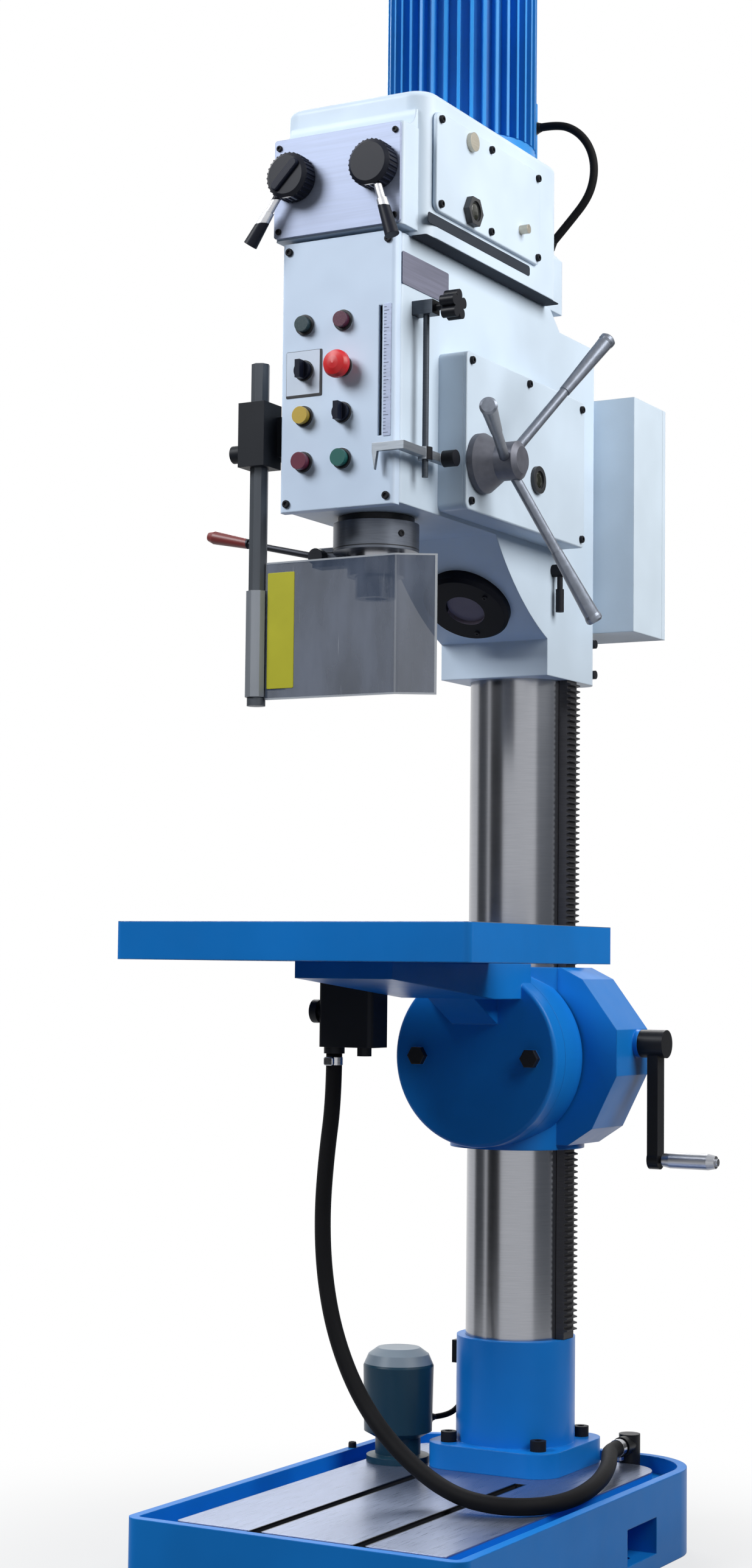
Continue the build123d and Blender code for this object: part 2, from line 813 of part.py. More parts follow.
def table_arm():
    y = table_disc_span()
    disc = rod_y(0, y, tilt_height, tilt_disc_diameter)
    body = fillet(disc.edges().filter_by(GeomType.CIRCLE).sort_by(Axis.Y)[:1], tilt_disc_edge)
    half = table_arm_width / 2
    tip = fwd(table_arm_reach)
    rise = table_arm_height * 0.55
    web = table_arm_width / 4
    outline = [(y[1], table_arm_floor), (y[1], table_floor), (tip, table_floor)]
    outline += [(tip, table_floor - table_arm_height + rise), (y[0] - 90, table_arm_floor)]
    body += prism_x(outline, (-half, half))
    gusset = [(y[1], table_arm_floor - web), (y[0], table_arm_floor - web), (y[0] - 2 * web, table_arm_floor)]
    body += prism_x(gusset + [(y[1], table_arm_floor)], (-web, web))
    through = (y[0] - 1, y[1] + 1)
    body -= rod_y(0, (y[0] + tilt_face_wall, y[1] + 1), tilt_height, tilt_pivot + 2 * running_fit)
    for x in tilt_bolt_places():
        body -= rod_y(x, through, tilt_height, tilt_bolt + air_gap)
    return body


def tilt_bolts():
    front = table_disc_span()[0]
    tee = tilt_tee_span()
    bolts = [hex_bolt_y(x, (front, tee[1]), tilt_height, tilt_bolt) for x in tilt_bolt_places()]
    heads = [rod_y(x, tee, tilt_height, tilt_tee) for x in tilt_bolt_places()]
    return [bolt + head for bolt, head in zip(bolts, heads)]


def drain_span():
    x = drain_x - drain_outlet_inset
    y = fwd(drain_reach) - drain_outlet_inset
    return (x, x + drain_width), (y, min(y + drain_depth, fwd(table_rear_reach)))


def drain_flange_span():
    x, y = drain_span()
    return (x[0] - drain_flange_lip, x[1] + drain_flange_lip), (y[0] - drain_flange_lip, y[1])


def table_drain():
    x, y = drain_span()
    outlet = fwd(drain_reach)
    floor = table_floor - drain_height
    body = block(x, y, (floor, table_floor - drain_flange))
    body = fillet(body.edges().filter_by(Axis.Z), drain_corner)
    body += block(*drain_flange_span(), (table_floor - drain_flange, table_floor))
    body += rod_z(drain_x, outlet, (floor - drain_spout_length, floor), drain_spout)
    body += rod_z(x[1] - drain_plug, outlet, (floor - drain_plug_length, floor), drain_plug)
    stem = x[0] - drain_knob_length * 0.3
    knob_z = floor + drain_knob_rise
    body += rod_x((stem, x[0]), outlet, knob_z, drain_knob * 0.6)
    body += rod_x((x[0] - drain_knob_length, stem), outlet, knob_z, drain_knob)
    return body - rod_z(drain_x, outlet, (floor - drain_spout_length - 1, table_floor + 1), drain_spout / 2)


# Head, lamp and front panel


def throat_arc():
    corner = (fwd(throat_corner_reach), head_floor)
    collar = (fwd(collar_front_reach), collar_top)
    return SagittaArc(corner, collar, -throat_bulge)


def throat_belly():
    arc = throat_arc()
    face = make_face([arc, Line(arc @ 1, arc @ 0)])
    return extrude(Plane.YZ.offset(-head_side) * face, head_width)


def head_casting():
    front = fwd(head_front_reach)
    rear = fwd(head_rear_reach)
    outline = [(front, head_floor), (fwd(throat_corner_reach), head_floor), (fwd(collar_front_reach), collar_top)]
    outline += [(fwd(collar_front_reach), collar_bottom), (rear, collar_bottom), (rear, head_rear_top)]
    outline += [(fwd(gearbox_rear_reach - 55), head_rear_top), (fwd(gearbox_rear_reach - 20), head_top)]
    outline += [(front, head_top)]
    body = prism_x(outline, (-head_side, head_side)) + throat_belly()
    uprights = body.edges().filter_by(Axis.Z).sort_by(Axis.Y)
    body = fillet(uprights[-2:], head_rear_radius)
    body = fillet(body.edges().filter_by(Axis.Z).sort_by(Axis.Y)[:2], head_radius)
    body -= rod_z(0, column_setback, (collar_bottom - 1, column_top + 1), column_diameter + 2 * running_fit)
    bore = quill_diameter + 2 * running_fit
    body -= rod_z(0, spindle_y, (head_floor - 1, head_top - bearing_height - 25), bore)
    body -= rod_z(0, spindle_y, (head_floor, head_top + 1), sleeve_diameter + 2 * air_gap)
    seat = sleeve_diameter + 2 * bearing_wall
    body -= rod_z(0, spindle_y, (head_top - bearing_height, head_top + 1), seat)
    for y in (low_shaft_y, high_shaft_y):
        body -= rod_z(0, y, (head_top - bearing_height, head_top + 1), train_shaft + 2 * bearing_wall)
        body -= rod_z(0, y, (head_top - bearing_height - 4, head_top), train_shaft + 2 * air_gap)
    wall = (head_width - 2 * feed_box_wall) / 2
    switch_room = (panel_bottom + 32, head_top - 25)
    switch_rear = spindle_y - quill_diameter / 2 - 20
    body -= block((-wall, wall), (front - 1, switch_rear), switch_room)
    pinion_room = 2 * (feed_pinion_radius + addendum * feed_module) + 2
    pinion_reach = feed_rack_width / 2 + 4
    body -= rod_x((-pinion_reach, head_side + 1), feed_y, feed_height, pinion_room)
    body -= rod_x((-head_side + 6, 0), feed_y, feed_height, feed_shaft + 2 * running_fit)
    pocket_y = (feed_y + pinion_room / 2 + 8, column_setback - column_radius - 22)
    pocket_z = (head_floor + 24, feed_box_top - feed_box_wall - 4)
    body -= block((-wall, head_side + 1), pocket_y, pocket_z)
    lock_y, lock_z = head_lock_place()
    body -= rod_x((head_side - 21, head_side + 1), lock_y, lock_z, 10 + 2 * running_fit)
    slit = clamp_slit / 2
    body -= block((-slit, slit), (column_setback, rear + 1), (collar_bottom - 1, cabinet_bottom - 4))
    for z in head_bolt_places():
        body -= rod_x((-head_side - 1, head_side + 1), head_bolt_y(), z, clamp_bolt + air_gap)
    return body


def head_clamp_bolts():
    span = (-head_side, head_side)
    return [hex_bolt_x(span, head_bolt_y(), z, clamp_bolt) for z in head_bolt_places()]


def lamp_plane():
    arc = throat_arc()
    spot = arc @ lamp_share
    slope = arc % lamp_share
    return Plane(origin=(0, spot.X, spot.Y), x_dir=(1, 0, 0), z_dir=(0, slope.Y, -slope.X))


def work_lamp():
    arc = throat_arc()
    sink = lamp_diameter ** 2 / (8 * arc.radius) + 1
    ring = extrude(Circle(lamp_diameter / 2) - Circle(lamp_lens / 2), lamp_height + sink)
    ring = chamfer(ring.edges().group_by(Axis.Z)[-1].sort_by(SortBy.LENGTH)[-1:], lamp_height / 3)
    lens = extrude(Circle(lamp_lens / 2 - running_fit), lamp_height * 0.6 + sink)
    seat = rod_x((-head_side, head_side), arc.arc_center.X, arc.arc_center.Y, 2 * arc.radius)
    return [lamp_plane() * Pos(0, 0, -sink) * piece - seat for piece in (ring, lens)]


def control_place(column_index, row):
    return (control_left + column_index * control_pitch_x, control_top - row * control_pitch_z)


def control_places():
    return [control_place(column_index, row) for row in range(4) for column_index in range(2)]


def front_panel():
    front = fwd(panel_face_reach)
    rear = fwd(head_front_reach)
    plate = block((-head_side, head_side), (front, rear), (panel_bottom, head_top))
    plate = fillet(plate.edges().filter_by(Axis.Z).sort_by(Axis.Y)[:2], head_radius * 0.7)
    lip = panel_skin * 2
    plate -= block((-head_side + lip, head_side - lip), (front + panel_skin, rear + 1),
                   (panel_bottom + lip, head_top - lip))
    for x, z in control_places():
        plate += rod_y(x, (front - bezel_height, front), z, bezel_diameter)
    for x, z in control_places():
        plate -= rod_y(x, (front - bezel_height - 1, rear), z, control_hole)
    half = scale_slot_width / 2
    plate -= block((scale_slot_x - half, scale_slot_x + half), (front - 1, rear), (scale_slot_bottom, scale_slot_top))
    return plate


def panel_stem(x, z, end):
    front = fwd(panel_face_reach)
    return rod_y(x, (front - end, front + panel_skin + 14), z, control_hole - 2 * running_fit)


def push_button(column_index, row, cap, depth):
    x, z = control_place(column_index, row)
    face = fwd(panel_face_reach) - bezel_height - button_travel - air_gap
    body = panel_stem(x, z, bezel_height + button_travel + air_gap)
    return body + rod_y(x, (face - depth, face), z, cap)


def emergency_stop():
    x, z = control_place(1, 1)
    face = fwd(panel_face_reach) - bezel_height - button_travel - air_gap
    profile = [(0, 0), (13, 0), (20, 8), (20, 14), (17, 20), (9, 23), (0, 24)]
    cap = revolve(Plane.XZ * make_face(Polyline(*profile, close=True)), Axis.Z)
    body = panel_stem(x, z, bezel_height + button_travel + air_gap)
    return body + Pos(x, face, z) * Rot(90, 0, 0) * cap


def selector(column_index, row):
    x, z = control_place(column_index, row)
    face = fwd(panel_face_reach) - bezel_height - air_gap
    body = panel_stem(x, z, bezel_height + air_gap)
    body += rod_y(x, (face - 6, face), z, bezel_diameter - 4)
    return body + block((x - 4, x + 4), (face - 18, face - 6), (z - 13, z + 13))


def pilot_lamps():
    lamps = []
    for column_index in range(2):
        x, z = control_place(column_index, 0)
        lamps.append(panel_stem(x, z, bezel_height + 9))
    return lamps


# Quill, spindle and their collar


def quill():
    body = rod_z(0, spindle_y, (quill_bottom, quill_top), quill_diameter)
    half = feed_rack_width / 2
    low = feed_height - 3 * feed_module * math.pi
    high = feed_height + quill_travel + 3 * feed_module * math.pi
    back = spindle_y + feed_rack_tip - (addendum + dedendum) * feed_module - 1
    body -= block((-half, half), (back, spindle_y + quill_diameter), (low, high))
    tooth_middle = feed_height + math.pi * feed_module / 2
    outline = rack_profile(back, spindle_y + feed_rack_tip, feed_module, low, high, tooth_middle)
    body += prism_x(outline, (-half, half))
    return body - rod_z(0, spindle_y, (quill_bottom - 1, quill_top + 1), quill_bore)


def quill_collar():
    top = head_floor - air_gap
    shoulder = top - collar_neck_height
    bottom = shoulder - collar_height
    body = rod_z(0, spindle_y, (bottom, shoulder), collar_diameter)
    body += rod_z(0, spindle_y, (shoulder, top), collar_neck)
    lug_z = (collar_lever_z() - lever_lug / 2, collar_lever_z() + lever_lug / 2)
    body += block((collar_lever_x() - 14, -quill_diameter / 2 - 6), (spindle_y - 14, spindle_y + 14), lug_z)
    body -= rod_z(0, spindle_y, (bottom - 1, top + 1), quill_diameter + 2 * running_fit)
    return body - rod_y(collar_lever_x(), (spindle_y - 15, spindle_y + 15), collar_lever_z(), 10 + 2 * running_fit)


def collar_lever_x():
    return -collar_diameter / 2 - lever_offset


def collar_lever_z():
    return head_floor - air_gap - collar_neck_height - collar_height - lever_drop


def collar_lever():
    x = collar_lever_x()
    z = collar_lever_z()
    face = spindle_y - 14 - air_gap
    hub = rod_y(x, (face - 16, face), z, 24) + rod_y(x, (face, spindle_y + 14), z, 10)
    turn = math.radians(180 - lever_rise)
    along = Vector(math.cos(turn), 0, math.sin(turn))
    start = Vector(x, face - 8, z)
    thin = lever_rod / 2
    thick = lever_grip / 2
    grip = lever_length - lever_grip_length
    profile = [(0, thin), (thin, thin), (thin, grip), (thick * 0.75, grip), (thick, lever_length - thick)]
    profile += [(thick * 0.7, lever_length), (0, lever_length)]
    handle = revolve(Plane.XZ * make_face(Polyline(*profile, close=True)), Axis.Z)
    return hub + Plane(origin=start, z_dir=along) * handle


def spindle_bearing_spans():
    return [(quill_bottom + 4, quill_bottom + 30), (quill_top - 30, quill_top - 4)]


def spindle_bearings():
    outer = quill_bore
    inner = spindle_diameter + 2 * running_fit
    return [ring_z(0, spindle_y, span, outer, inner) for span in spindle_bearing_spans()]


def spline(diameter, key, z):
    body = rod_z(0, spindle_y, z, diameter)
    reach = diameter / 2 + 4
    for index in range(spline_keys // 2):
        bar = block((-reach, reach), (-key / 2, key / 2), z)
        body += Pos(0, spindle_y, 0) * Rot(0, 0, index * 360 / spline_keys) * bar
    return body


def spindle():
    shoulder = quill_bottom - air_gap
    body = rod_z(0, spindle_y, (spindle_nose_bottom, shoulder), spindle_nose)
    body += rod_z(0, spindle_y, (shoulder, quill_top + 8), spindle_diameter)
    body += spline(spline_diameter, spline_key, (quill_top + 8, spindle_top))
    bottom = spindle_nose_bottom
    profile = [(0, bottom - 1), (taper_mouth / 2, bottom - 1), (taper_mouth / 2, bottom)]
    profile += [(taper_end / 2, bottom + taper_depth), (0, bottom + taper_depth + 6)]
    return body - turned_z(0, spindle_y, profile)


# Feed housing and capstan


def feed_box_span():
    return (feed_box_front, fwd(feed_box_rear_reach))


def feed_housing():
    y = feed_box_span()
    z = (feed_box_bottom, feed_box_top)
    x = (head_side, feed_side - feed_cover_thickness)
    body = block(x, y, z)
    body = fillet(body.edges().filter_by(Axis.X), 10)
    wall = feed_box_wall
    return body - block((x[0] - 1, x[1] + 1), (y[0] + wall, y[1] - wall), (z[0] + wall, z[1] - wall))


def feed_cover():
    y = feed_box_span()
    z = (feed_box_bottom, feed_box_top)
    inner = feed_side - feed_cover_thickness
    plate = block((inner, feed_side), y, z)
    plate = fillet(plate.edges().filter_by(Axis.X), 10)
    plate = chamfer(plate.faces().sort_by(Axis.X)[-1].edges(), 1.5)
    plate += rod_x((inner - 22, inner), feed_y, feed_height, feed_shaft + 20)
    return plate - rod_x((inner - 23, feed_side + 1), feed_y, feed_height, feed_shaft + 2 * running_fit)


def feed_pinion():
    body = rod_x((-head_side + 8, hub_end_side - 20), feed_y, feed_height, feed_shaft)
    half = feed_rack_width / 2 - 1
    return body + gear_x((-half, half), feed_y, feed_height, feed_teeth, feed_module, 180)


def capstan_direction(index):
    turn = math.radians(capstan_phase + index * 360 / capstan_arms)
    tilt = math.radians(capstan_arm_tilt)
    return Vector(math.sin(tilt), math.cos(tilt) * math.cos(turn), math.cos(tilt) * math.sin(turn))


def capstan_arm_plane(index, start):
    along = capstan_direction(index)
    return Plane(origin=Vector(hub_arm_side, feed_y, feed_height) + along * start, z_dir=along)


def capstan_hub():
    start = feed_side + air_gap
    shaft = feed_shaft / 2 + running_fit
    profile = [(start, shaft), (start, hub_flange / 2), (start + 9, hub_flange / 2), (start + hub_cone, hub_nose / 2)]
    profile += [(hub_end_side - 6, hub_nose / 2), (hub_end_side, hub_nose / 2 - 8), (hub_end_side, 0)]
    profile += [(hub_end_side - 20 + running_fit, 0), (hub_end_side - 20 + running_fit, shaft)]
    body = turned_x(feed_y, feed_height, profile)
    for index in range(capstan_arms):
        socket = Cylinder(capstan_rod / 2 + running_fit, hub_flange, align=MIN_END)
        body -= capstan_arm_plane(index, feed_shaft / 2 + 4) * socket
    return body


def capstan_arm_group():
    arms = []
    grip_start = capstan_grip_start
    for index in range(capstan_arms):
        first = feed_shaft / 2 + 4
        rod = Cylinder(capstan_rod / 2, grip_start - first, align=MIN_END)
        small = capstan_grip_small / 2
        large = capstan_grip_large / 2
        length = capstan_arm_length - grip_start
        profile = [(0, 0), (small, 0), (large - 1, length - 12), (large, length - 8)]
        profile += [(large, length - 3), (large - 3, length), (0, length)]
        grip = revolve(Plane.XZ * make_face(Polyline(*profile, close=True)), Axis.Z)
        arms.append(capstan_arm_plane(index, first) * rod + capstan_arm_plane(index, grip_start) * grip)
    return arms


def head_lock_place():
    return fwd(feed_box_rear_reach) - 14, feed_box_bottom - 34


def head_lock_lever():
    y, z = head_lock_place()
    hub = rod_x((head_side + air_gap, head_side + 18), y, z, 20) + rod_x((head_side - 20, head_side), y, z, 10)
    hub += rod_x((head_side, head_side + air_gap), y, z, 10)
    arm = rod_z(y=y, x=head_side + 12, z=(z - 58, z), diameter=9)
    return hub + arm + rod_z(y=y, x=head_side + 12, z=(z - 66, z - 30), diameter=13)


# Depth stop


def depth_rod():
    rod = rod_z(depth_rod_side, fwd(depth_rod_reach), (depth_rod_bottom, depth_rod_top), depth_rod_diameter)
    return rod


# Upper gearbox and gear train


def gearbox_span():
    return (fwd(gearbox_front_reach), fwd(gearbox_rear_reach))


def gearbox_casting():
    y = gearbox_span()
    body = slab(gearbox_width, y, (head_top, gearbox_top), gearbox_radius)
    body = fillet(body.edges().group_by(Axis.Z)[-1], 10)
    shift = block((-shift_box_width / 2, shift_box_width / 2), (fwd(shift_box_reach), y[0] + gearbox_radius),
                  (head_top + 6, shift_box_top))
    body += fillet(shift.edges().filter_by(Axis.Z).sort_by(Axis.Y)[:2], 8)
    cove = shift_box_cove
    side = gearbox_width / 2 - gearbox_radius / 2
    rise = block((-side, side), (y[0] - cove, y[0] + gearbox_wall), (shift_box_top, shift_box_top + cove))
    body += rise - rod_x((-side - 1, side + 1), y[0] - cove, shift_box_top + cove, 2 * cove)
    hump = block((-rear_hump_width / 2, rear_hump_width / 2), (y[1] - gearbox_radius, fwd(rear_hump_reach)),
                 (head_top, rear_hump_top))
    hump = chamfer(hump.edges().filter_by(Axis.Y).sort_by(Axis.Z)[-2:], rear_hump_chamfer)
    body += hump
    wall = gearbox_wall
    body -= slab(gearbox_width - 2 * wall, (y[0] + wall, y[1] - wall), (head_top - 1, roof_under),
                 gearbox_radius - wall)
    body -= block((-shift_box_width / 2 + wall, shift_box_width / 2 - wall),
                  (fwd(shift_box_reach) + wall, y[0] + wall + 1), (head_top + 18, shift_box_top - wall))
    lip = cover_lip
    body -= block((gearbox_width / 2 - wall - 1, gearbox_width / 2 + 1),
                  (fwd(cover_front_reach) + lip, fwd(cover_rear_reach) - lip), (cover_bottom + lip, cover_top - lip))
    body -= rod_z(0, motor_y, (roof_under - 1, gearbox_top + 1), train_module * (motor_teeth + 4))
    for y_shaft in (low_shaft_y, high_shaft_y):
        body -= rod_z(0, y_shaft, (roof_under - 1, roof_under + bearing_height), train_shaft + 2 * bearing_wall)
    seat = sleeve_diameter + 2 * bearing_wall
    body -= rod_z(0, spindle_y, (roof_under - 1, roof_under + bearing_height), seat)
    for x in (-speed_knob_pitch / 2, speed_knob_pitch / 2):
        span = (fwd(shift_box_reach) - 1, fwd(shift_box_reach) + wall + 1)
        body -= rod_y(x, span, speed_knob_height, speed_shaft + 2 * running_fit)
    return body


def gearbox_side_cover():
    x = (gearbox_width / 2, cover_face)
    y = (fwd(cover_front_reach), fwd(cover_rear_reach))
    plate = block(x, y, (cover_bottom, cover_top))
    plate = fillet(plate.edges().filter_by(Axis.X), 12)
    return chamfer(plate.faces().sort_by(Axis.X)[-1].edges(), 1.5)


def oil_plugs():
    length = cover_front_reach - cover_rear_reach
    filler_y = fwd(cover_front_reach - length * 0.31)
    drain_y = fwd(cover_rear_reach + length * 0.2)
    filler = rod_x((cover_face, cover_face + 7), filler_y, cover_top - 18, filler_diameter)
    sight_z = cover_bottom + sight_across * 0.52
    nut = Plane.YZ.offset(cover_face) * Pos(filler_y, sight_z) * RegularPolygon(sight_across / 2, 6)
    sight = extrude(nut, 10) - rod_x((cover_face + 7, cover_face + 11), filler_y, sight_z, sight_across * 0.65)
    drain = rod_x((cover_face, cover_face + 14), drain_y, cover_bottom + 40, 14)
    rim_y = fwd(feed_sight_reach)
    feed_sight = rod_x((feed_side, feed_side + 6), rim_y, feed_height + 8, feed_sight_diameter)
    feed_sight -= rod_x((feed_side + 3, feed_side + 7), rim_y, feed_height + 8, feed_sight_diameter * 0.66)
    return [filler, sight, drain, feed_sight]


def shift_plate():
    face = fwd(shift_box_reach)
    plate = block((-shift_box_width / 2 + 2, shift_box_width / 2 - 2), (face - shift_plate_thickness, face),
                  (head_top + 8, shift_box_top - 2))
    plate = fillet(plate.edges().filter_by(Axis.Y), 4)
    for x in (-speed_knob_pitch / 2, speed_knob_pitch / 2):
        span = (face - shift_plate_thickness - 1, face + 1)
        plate -= rod_y(x, span, speed_knob_height, speed_shaft + 2 * running_fit)
    return plate


def speed_knob(x, lever_angle):
    plate = fwd(shift_box_reach) - shift_plate_thickness
    face = plate - air_gap
    z = speed_knob_height
    body = rod_y(x, (face - speed_knob_depth, face), z, speed_knob_diameter)
    body = chamfer(body.edges().sort_by(Axis.Y)[:1], 5)
    body += rod_y(x, (face, fwd(shift_box_reach) + gearbox_wall + 14), z, speed_shaft)
    turn = math.radians(lever_angle)
    along = Vector(math.cos(turn), 0, math.sin(turn))
    start = Vector(x, face - speed_knob_depth * 0.6, z)
    neck_start = speed_knob_diameter / 2 - 6
    neck = Plane(origin=start + along * neck_start, z_dir=along) * Cylinder(6, 34, align=MIN_END)
    grip_start = neck_start + 30
    grip = Plane(origin=start + along * grip_start, z_dir=along)
    return body + neck + grip * Cone(8, 10.5, speed_lever_length - grip_start, align=MIN_END)


def shaft_bearings(y, diameter):
    outer = diameter + 2 * bearing_wall
    inner = diameter + 2 * running_fit
    low = ring_z(0, y, (head_top - bearing_height, head_top), outer, inner)
    high = ring_z(0, y, (roof_under, roof_under + bearing_height), outer, inner)
    return [low, high]


def gearbox_bearings():
    rings = shaft_bearings(spindle_y, sleeve_diameter)
    rings += shaft_bearings(low_shaft_y, train_shaft)
    rings += shaft_bearings(high_shaft_y, train_shaft)
    return rings


def train_shaft_span():
    return (head_top - bearing_height, roof_under + bearing_height - air_gap)


def gear_at(y, level, teeth, tooth_angle):
    return gear_z(0, y, (level, level + gear_face), teeth, train_module, tooth_angle)


def facing_gap(teeth, angle):
    return angle + 180 / teeth


def spindle_drive_gear():
    body = rod_z(0, spindle_y, train_shaft_span(), sleeve_diameter)
    body += gear_at(spindle_y, gear_level_low, drive_gear_teeth, facing_gap(drive_gear_teeth, 90))
    room = (train_shaft_span()[0] - 1, train_shaft_span()[1] + 1)
    return body - spline(spline_diameter + 2 * air_gap, spline_key + 2 * air_gap, room)


def low_countershaft():
    body = rod_z(0, low_shaft_y, train_shaft_span(), train_shaft)
    body += gear_at(low_shaft_y, gear_level_low, low_pinion_teeth, 270)
    return body + gear_at(low_shaft_y, gear_level_mid, low_gear_teeth, facing_gap(low_gear_teeth, 90))


def high_countershaft():
    body = rod_z(0, high_shaft_y, train_shaft_span(), train_shaft)
    body += gear_at(high_shaft_y, gear_level_mid, high_pinion_teeth, 270)
    return body + gear_at(high_shaft_y, gear_level_high, high_gear_teeth, facing_gap(high_gear_teeth, 90))


def motor_pinion():
    body = rod_z(0, motor_y, (gear_level_high - 4, gearbox_top + 90), motor_shaft)
    return body + gear_at(motor_y, gear_level_high, motor_teeth, 270)


# Motor, its terminal box and the cables


def motor_frame():
    body = rod_z(0, motor_y, (gearbox_top, motor_body_top), motor_core)
    body += rod_z(0, motor_y, (gearbox_top, gearbox_top + motor_seat), motor_diameter - 4)
    fin_z = (gearbox_top + motor_seat, motor_body_top)
    inner = motor_core / 2 - 3
    for index in range(motor_fins):
        angle = (index + 0.5) * 360 / motor_fins
        if abs(angle - 90) < terminal_width / motor_core * 90:
            continue
        fin = block((inner, motor_diameter / 2), (-motor_fin / 2, motor_fin / 2), fin_z)
        body += Pos(0, motor_y, 0) * Rot(0, 0, angle) * fin
    return body - rod_z(0, motor_y, (gearbox_top - 1, gearbox_top + 91), motor_shaft + 2 * running_fit)


def fan_cowl():
    radius = motor_diameter / 2 + 1
    profile = [(0, motor_body_top), (radius, motor_body_top), (radius, cowl_top - 22), (radius - 18, cowl_top)]
    body = turned_z(0, motor_y, profile + [(0, cowl_top)])
    body -= rod_z(0, motor_y, (motor_body_top - 1, cowl_top - 2 * cowl_wall), 2 * (radius - 18))
    body -= rod_z(0, motor_y, (motor_body_top - 1, cowl_top - 26), 2 * (radius - cowl_wall))
    for index in range(6):
        bar = block((-5, 5), (22, radius - 34), (cowl_top - 3 * cowl_wall, cowl_top + 1))
        body -= Pos(0, motor_y, 0) * Rot(0, 0, index * 60) * bar
    return body


def terminal_span_x():
    return (terminal_offset - terminal_width / 2, terminal_offset + terminal_width / 2)


def terminal_span_y():
    start = motor_y + motor_core / 2
    return (start, start + terminal_depth)


def terminal_box():
    x = terminal_span_x()
    y = terminal_span_y()
    z = (terminal_bottom, terminal_top)
    body = block(x, (motor_y + motor_core / 4, y[1]), z)
    body = fillet(body.faces().sort_by(Axis.Y)[-1].edges(), 6)
    return body - rod_z(0, motor_y, (z[0] - 1, z[1] + 1), motor_core)


def gland(origin, direction, diameter):
    plane = Plane(origin=origin, z_dir=direction)
    nut = extrude(RegularPolygon(diameter / 2, 6), gland_length * 0.5)
    dome = Pos(0, 0, gland_length * 0.5) * Cone(diameter / 2 - 2, diameter / 2 - 5, gland_length * 0.5, align=MIN_END)
    return plane * (nut + dome)


def cable_top_gland():
    y = terminal_span_y()[1] - terminal_depth * 0.5
    return Vector(terminal_span_x()[1], y, (terminal_bottom + terminal_top) / 2)


def hump_gland():
    inset = rear_hump_chamfer / 2
    return Vector(rear_hump_width / 2 - inset, fwd(rear_hump_reach) - 27, rear_hump_top - inset)


def pump_cable_heading():
    to_outlet = Vector(-pump_outlet_side - pump_x, pump_outlet_setback + pump_reach, 0)
    return to_outlet.normalized()


def pump_gland():
    foot = Vector(pump_x, fwd(pump_reach), pad_top + pump_gland_rise)
    return foot + pump_cable_heading() * (pump_body / 2 - 1)


def pump_outlet_gland():
    rise = pump_cable_run * (1 + math.sin(math.radians(60)) + math.sin(math.radians(30))) + gland_length
    return Vector(-pump_outlet_side, column_setback + pump_outlet_setback, pump_gland().Z + rise)


def pump_outlet_box():
    place = pump_outlet_gland()
    half = gland_diameter * 0.75
    body = block((place.X - half, 0), (place.Y - half, place.Y + half), (place.Z, place.Z + 2 * half))
    return body - rod_z(0, column_setback, (pad_top, pedestal_top), pedestal_diameter + 2 * running_fit)


def hose_elbow():
    x, y, z = drain_hose_end()
    rise = rod_z(x, y + 34, (trough_floor, z + 16), 34)
    arm = rod_y(x, (y, y + 34), z, 30)
    return rise + arm


def line_fittings():
    fittings = [gland(cable_top_gland(), (1, 0, 0), gland_diameter)]
    fittings.append(gland(hump_gland(), (1, 0, 1), gland_diameter))
    fittings.append(gland(pump_gland(), pump_cable_heading(), gland_diameter - 5))
    fittings.append(pump_outlet_box())
    fittings.append(gland(pump_outlet_gland(), (0, 0, -1), gland_diameter - 5))
    fittings.append(hose_elbow())
    return fittings


def drain_hose_end():
    return (149.5, fwd(-74.0), 150.0)


def drain_hose():
    top = table_floor - drain_height - drain_spout_length
    rest = pad_top + hose_diameter / 2 + 1
    fall = [(0, 0, 1), (0, 0, 0.89), (-12, 0, 0.751), (-19, -1, 0.609), (-13, 0, 0.467), (9, 4, 0.332)]
    fall += [(53, 14, 0.205), (115, 30, 0.11), (189, 52, 0.043), (259, 75, 0.01)]
    points = [(drain_x + x, fwd(drain_reach + y), rest + share * (top - rest)) for x, y, share in fall]
    lay = [(156, 378, 1), (198, 354, 0), (222, 312, 0), (228, 240, 1), (216, 150, 5.5), (193, 70, 10.5)]
    lay += [(165, 4, 14), (149.5, -32, 14.5), (149.5, -74, 14.5)]
    points += [(x, fwd(reach), rest + lift) for x, reach, lift in lay]
    return cord("drain hose", points, hose_diameter)


def motor_cable():
    top = cable_top_gland() + Vector(gland_length, 0, 0)
    lean = gland_length * math.sqrt(0.5)
    end = hump_gland() + Vector(lean, 0, lean)
    steps = [(31, 0, 0), (59.3, 2, -12.6), (80, 4.5, -36.1), (89.6, 7.5, -65.6), (87.4, 10.5, -96.5)]
    points = [top] + [top + Vector(*step) for step in steps]
    points += [end + Vector(59.6, -4, 58.2), end + Vector(29.5, 0, 29.5), end]
    return cord("motor cable", points, motor_cable_diameter)


def pump_cable():
    along = pump_cable_heading()
    points = [pump_outlet_gland() - Vector(0, 0, gland_length)]
    for climb in (90, 60, 30):
        turn = math.radians(climb)
        step = along * math.cos(turn) + Vector(0, 0, math.sin(turn))
        points.append(points[-1] - step * pump_cable_run)
    points.append(pump_gland() + along * gland_length)
    return cord("pump cable", points[::-1], pump_cable_diameter)


# Electrical cabinet


def cabinet_box():
    half = cabinet_width / 2
    wall = cabinet_wall
    body = block((-half, half), (cabinet_y, door_y - door_thickness), (cabinet_bottom, cabinet_top))
    body -= block((-half + wall, half - wall), (cabinet_y + wall, door_y), (cabinet_bottom + wall, cabinet_top - wall))
    return body


def cabinet_door():
    half = cabinet_width / 2
    seam = air_gap
    body = block((-half, half), (door_y - door_thickness + seam, door_y), (cabinet_bottom, cabinet_top))
    return fillet(body.faces().sort_by(Axis.Y)[-1].edges(), 4)


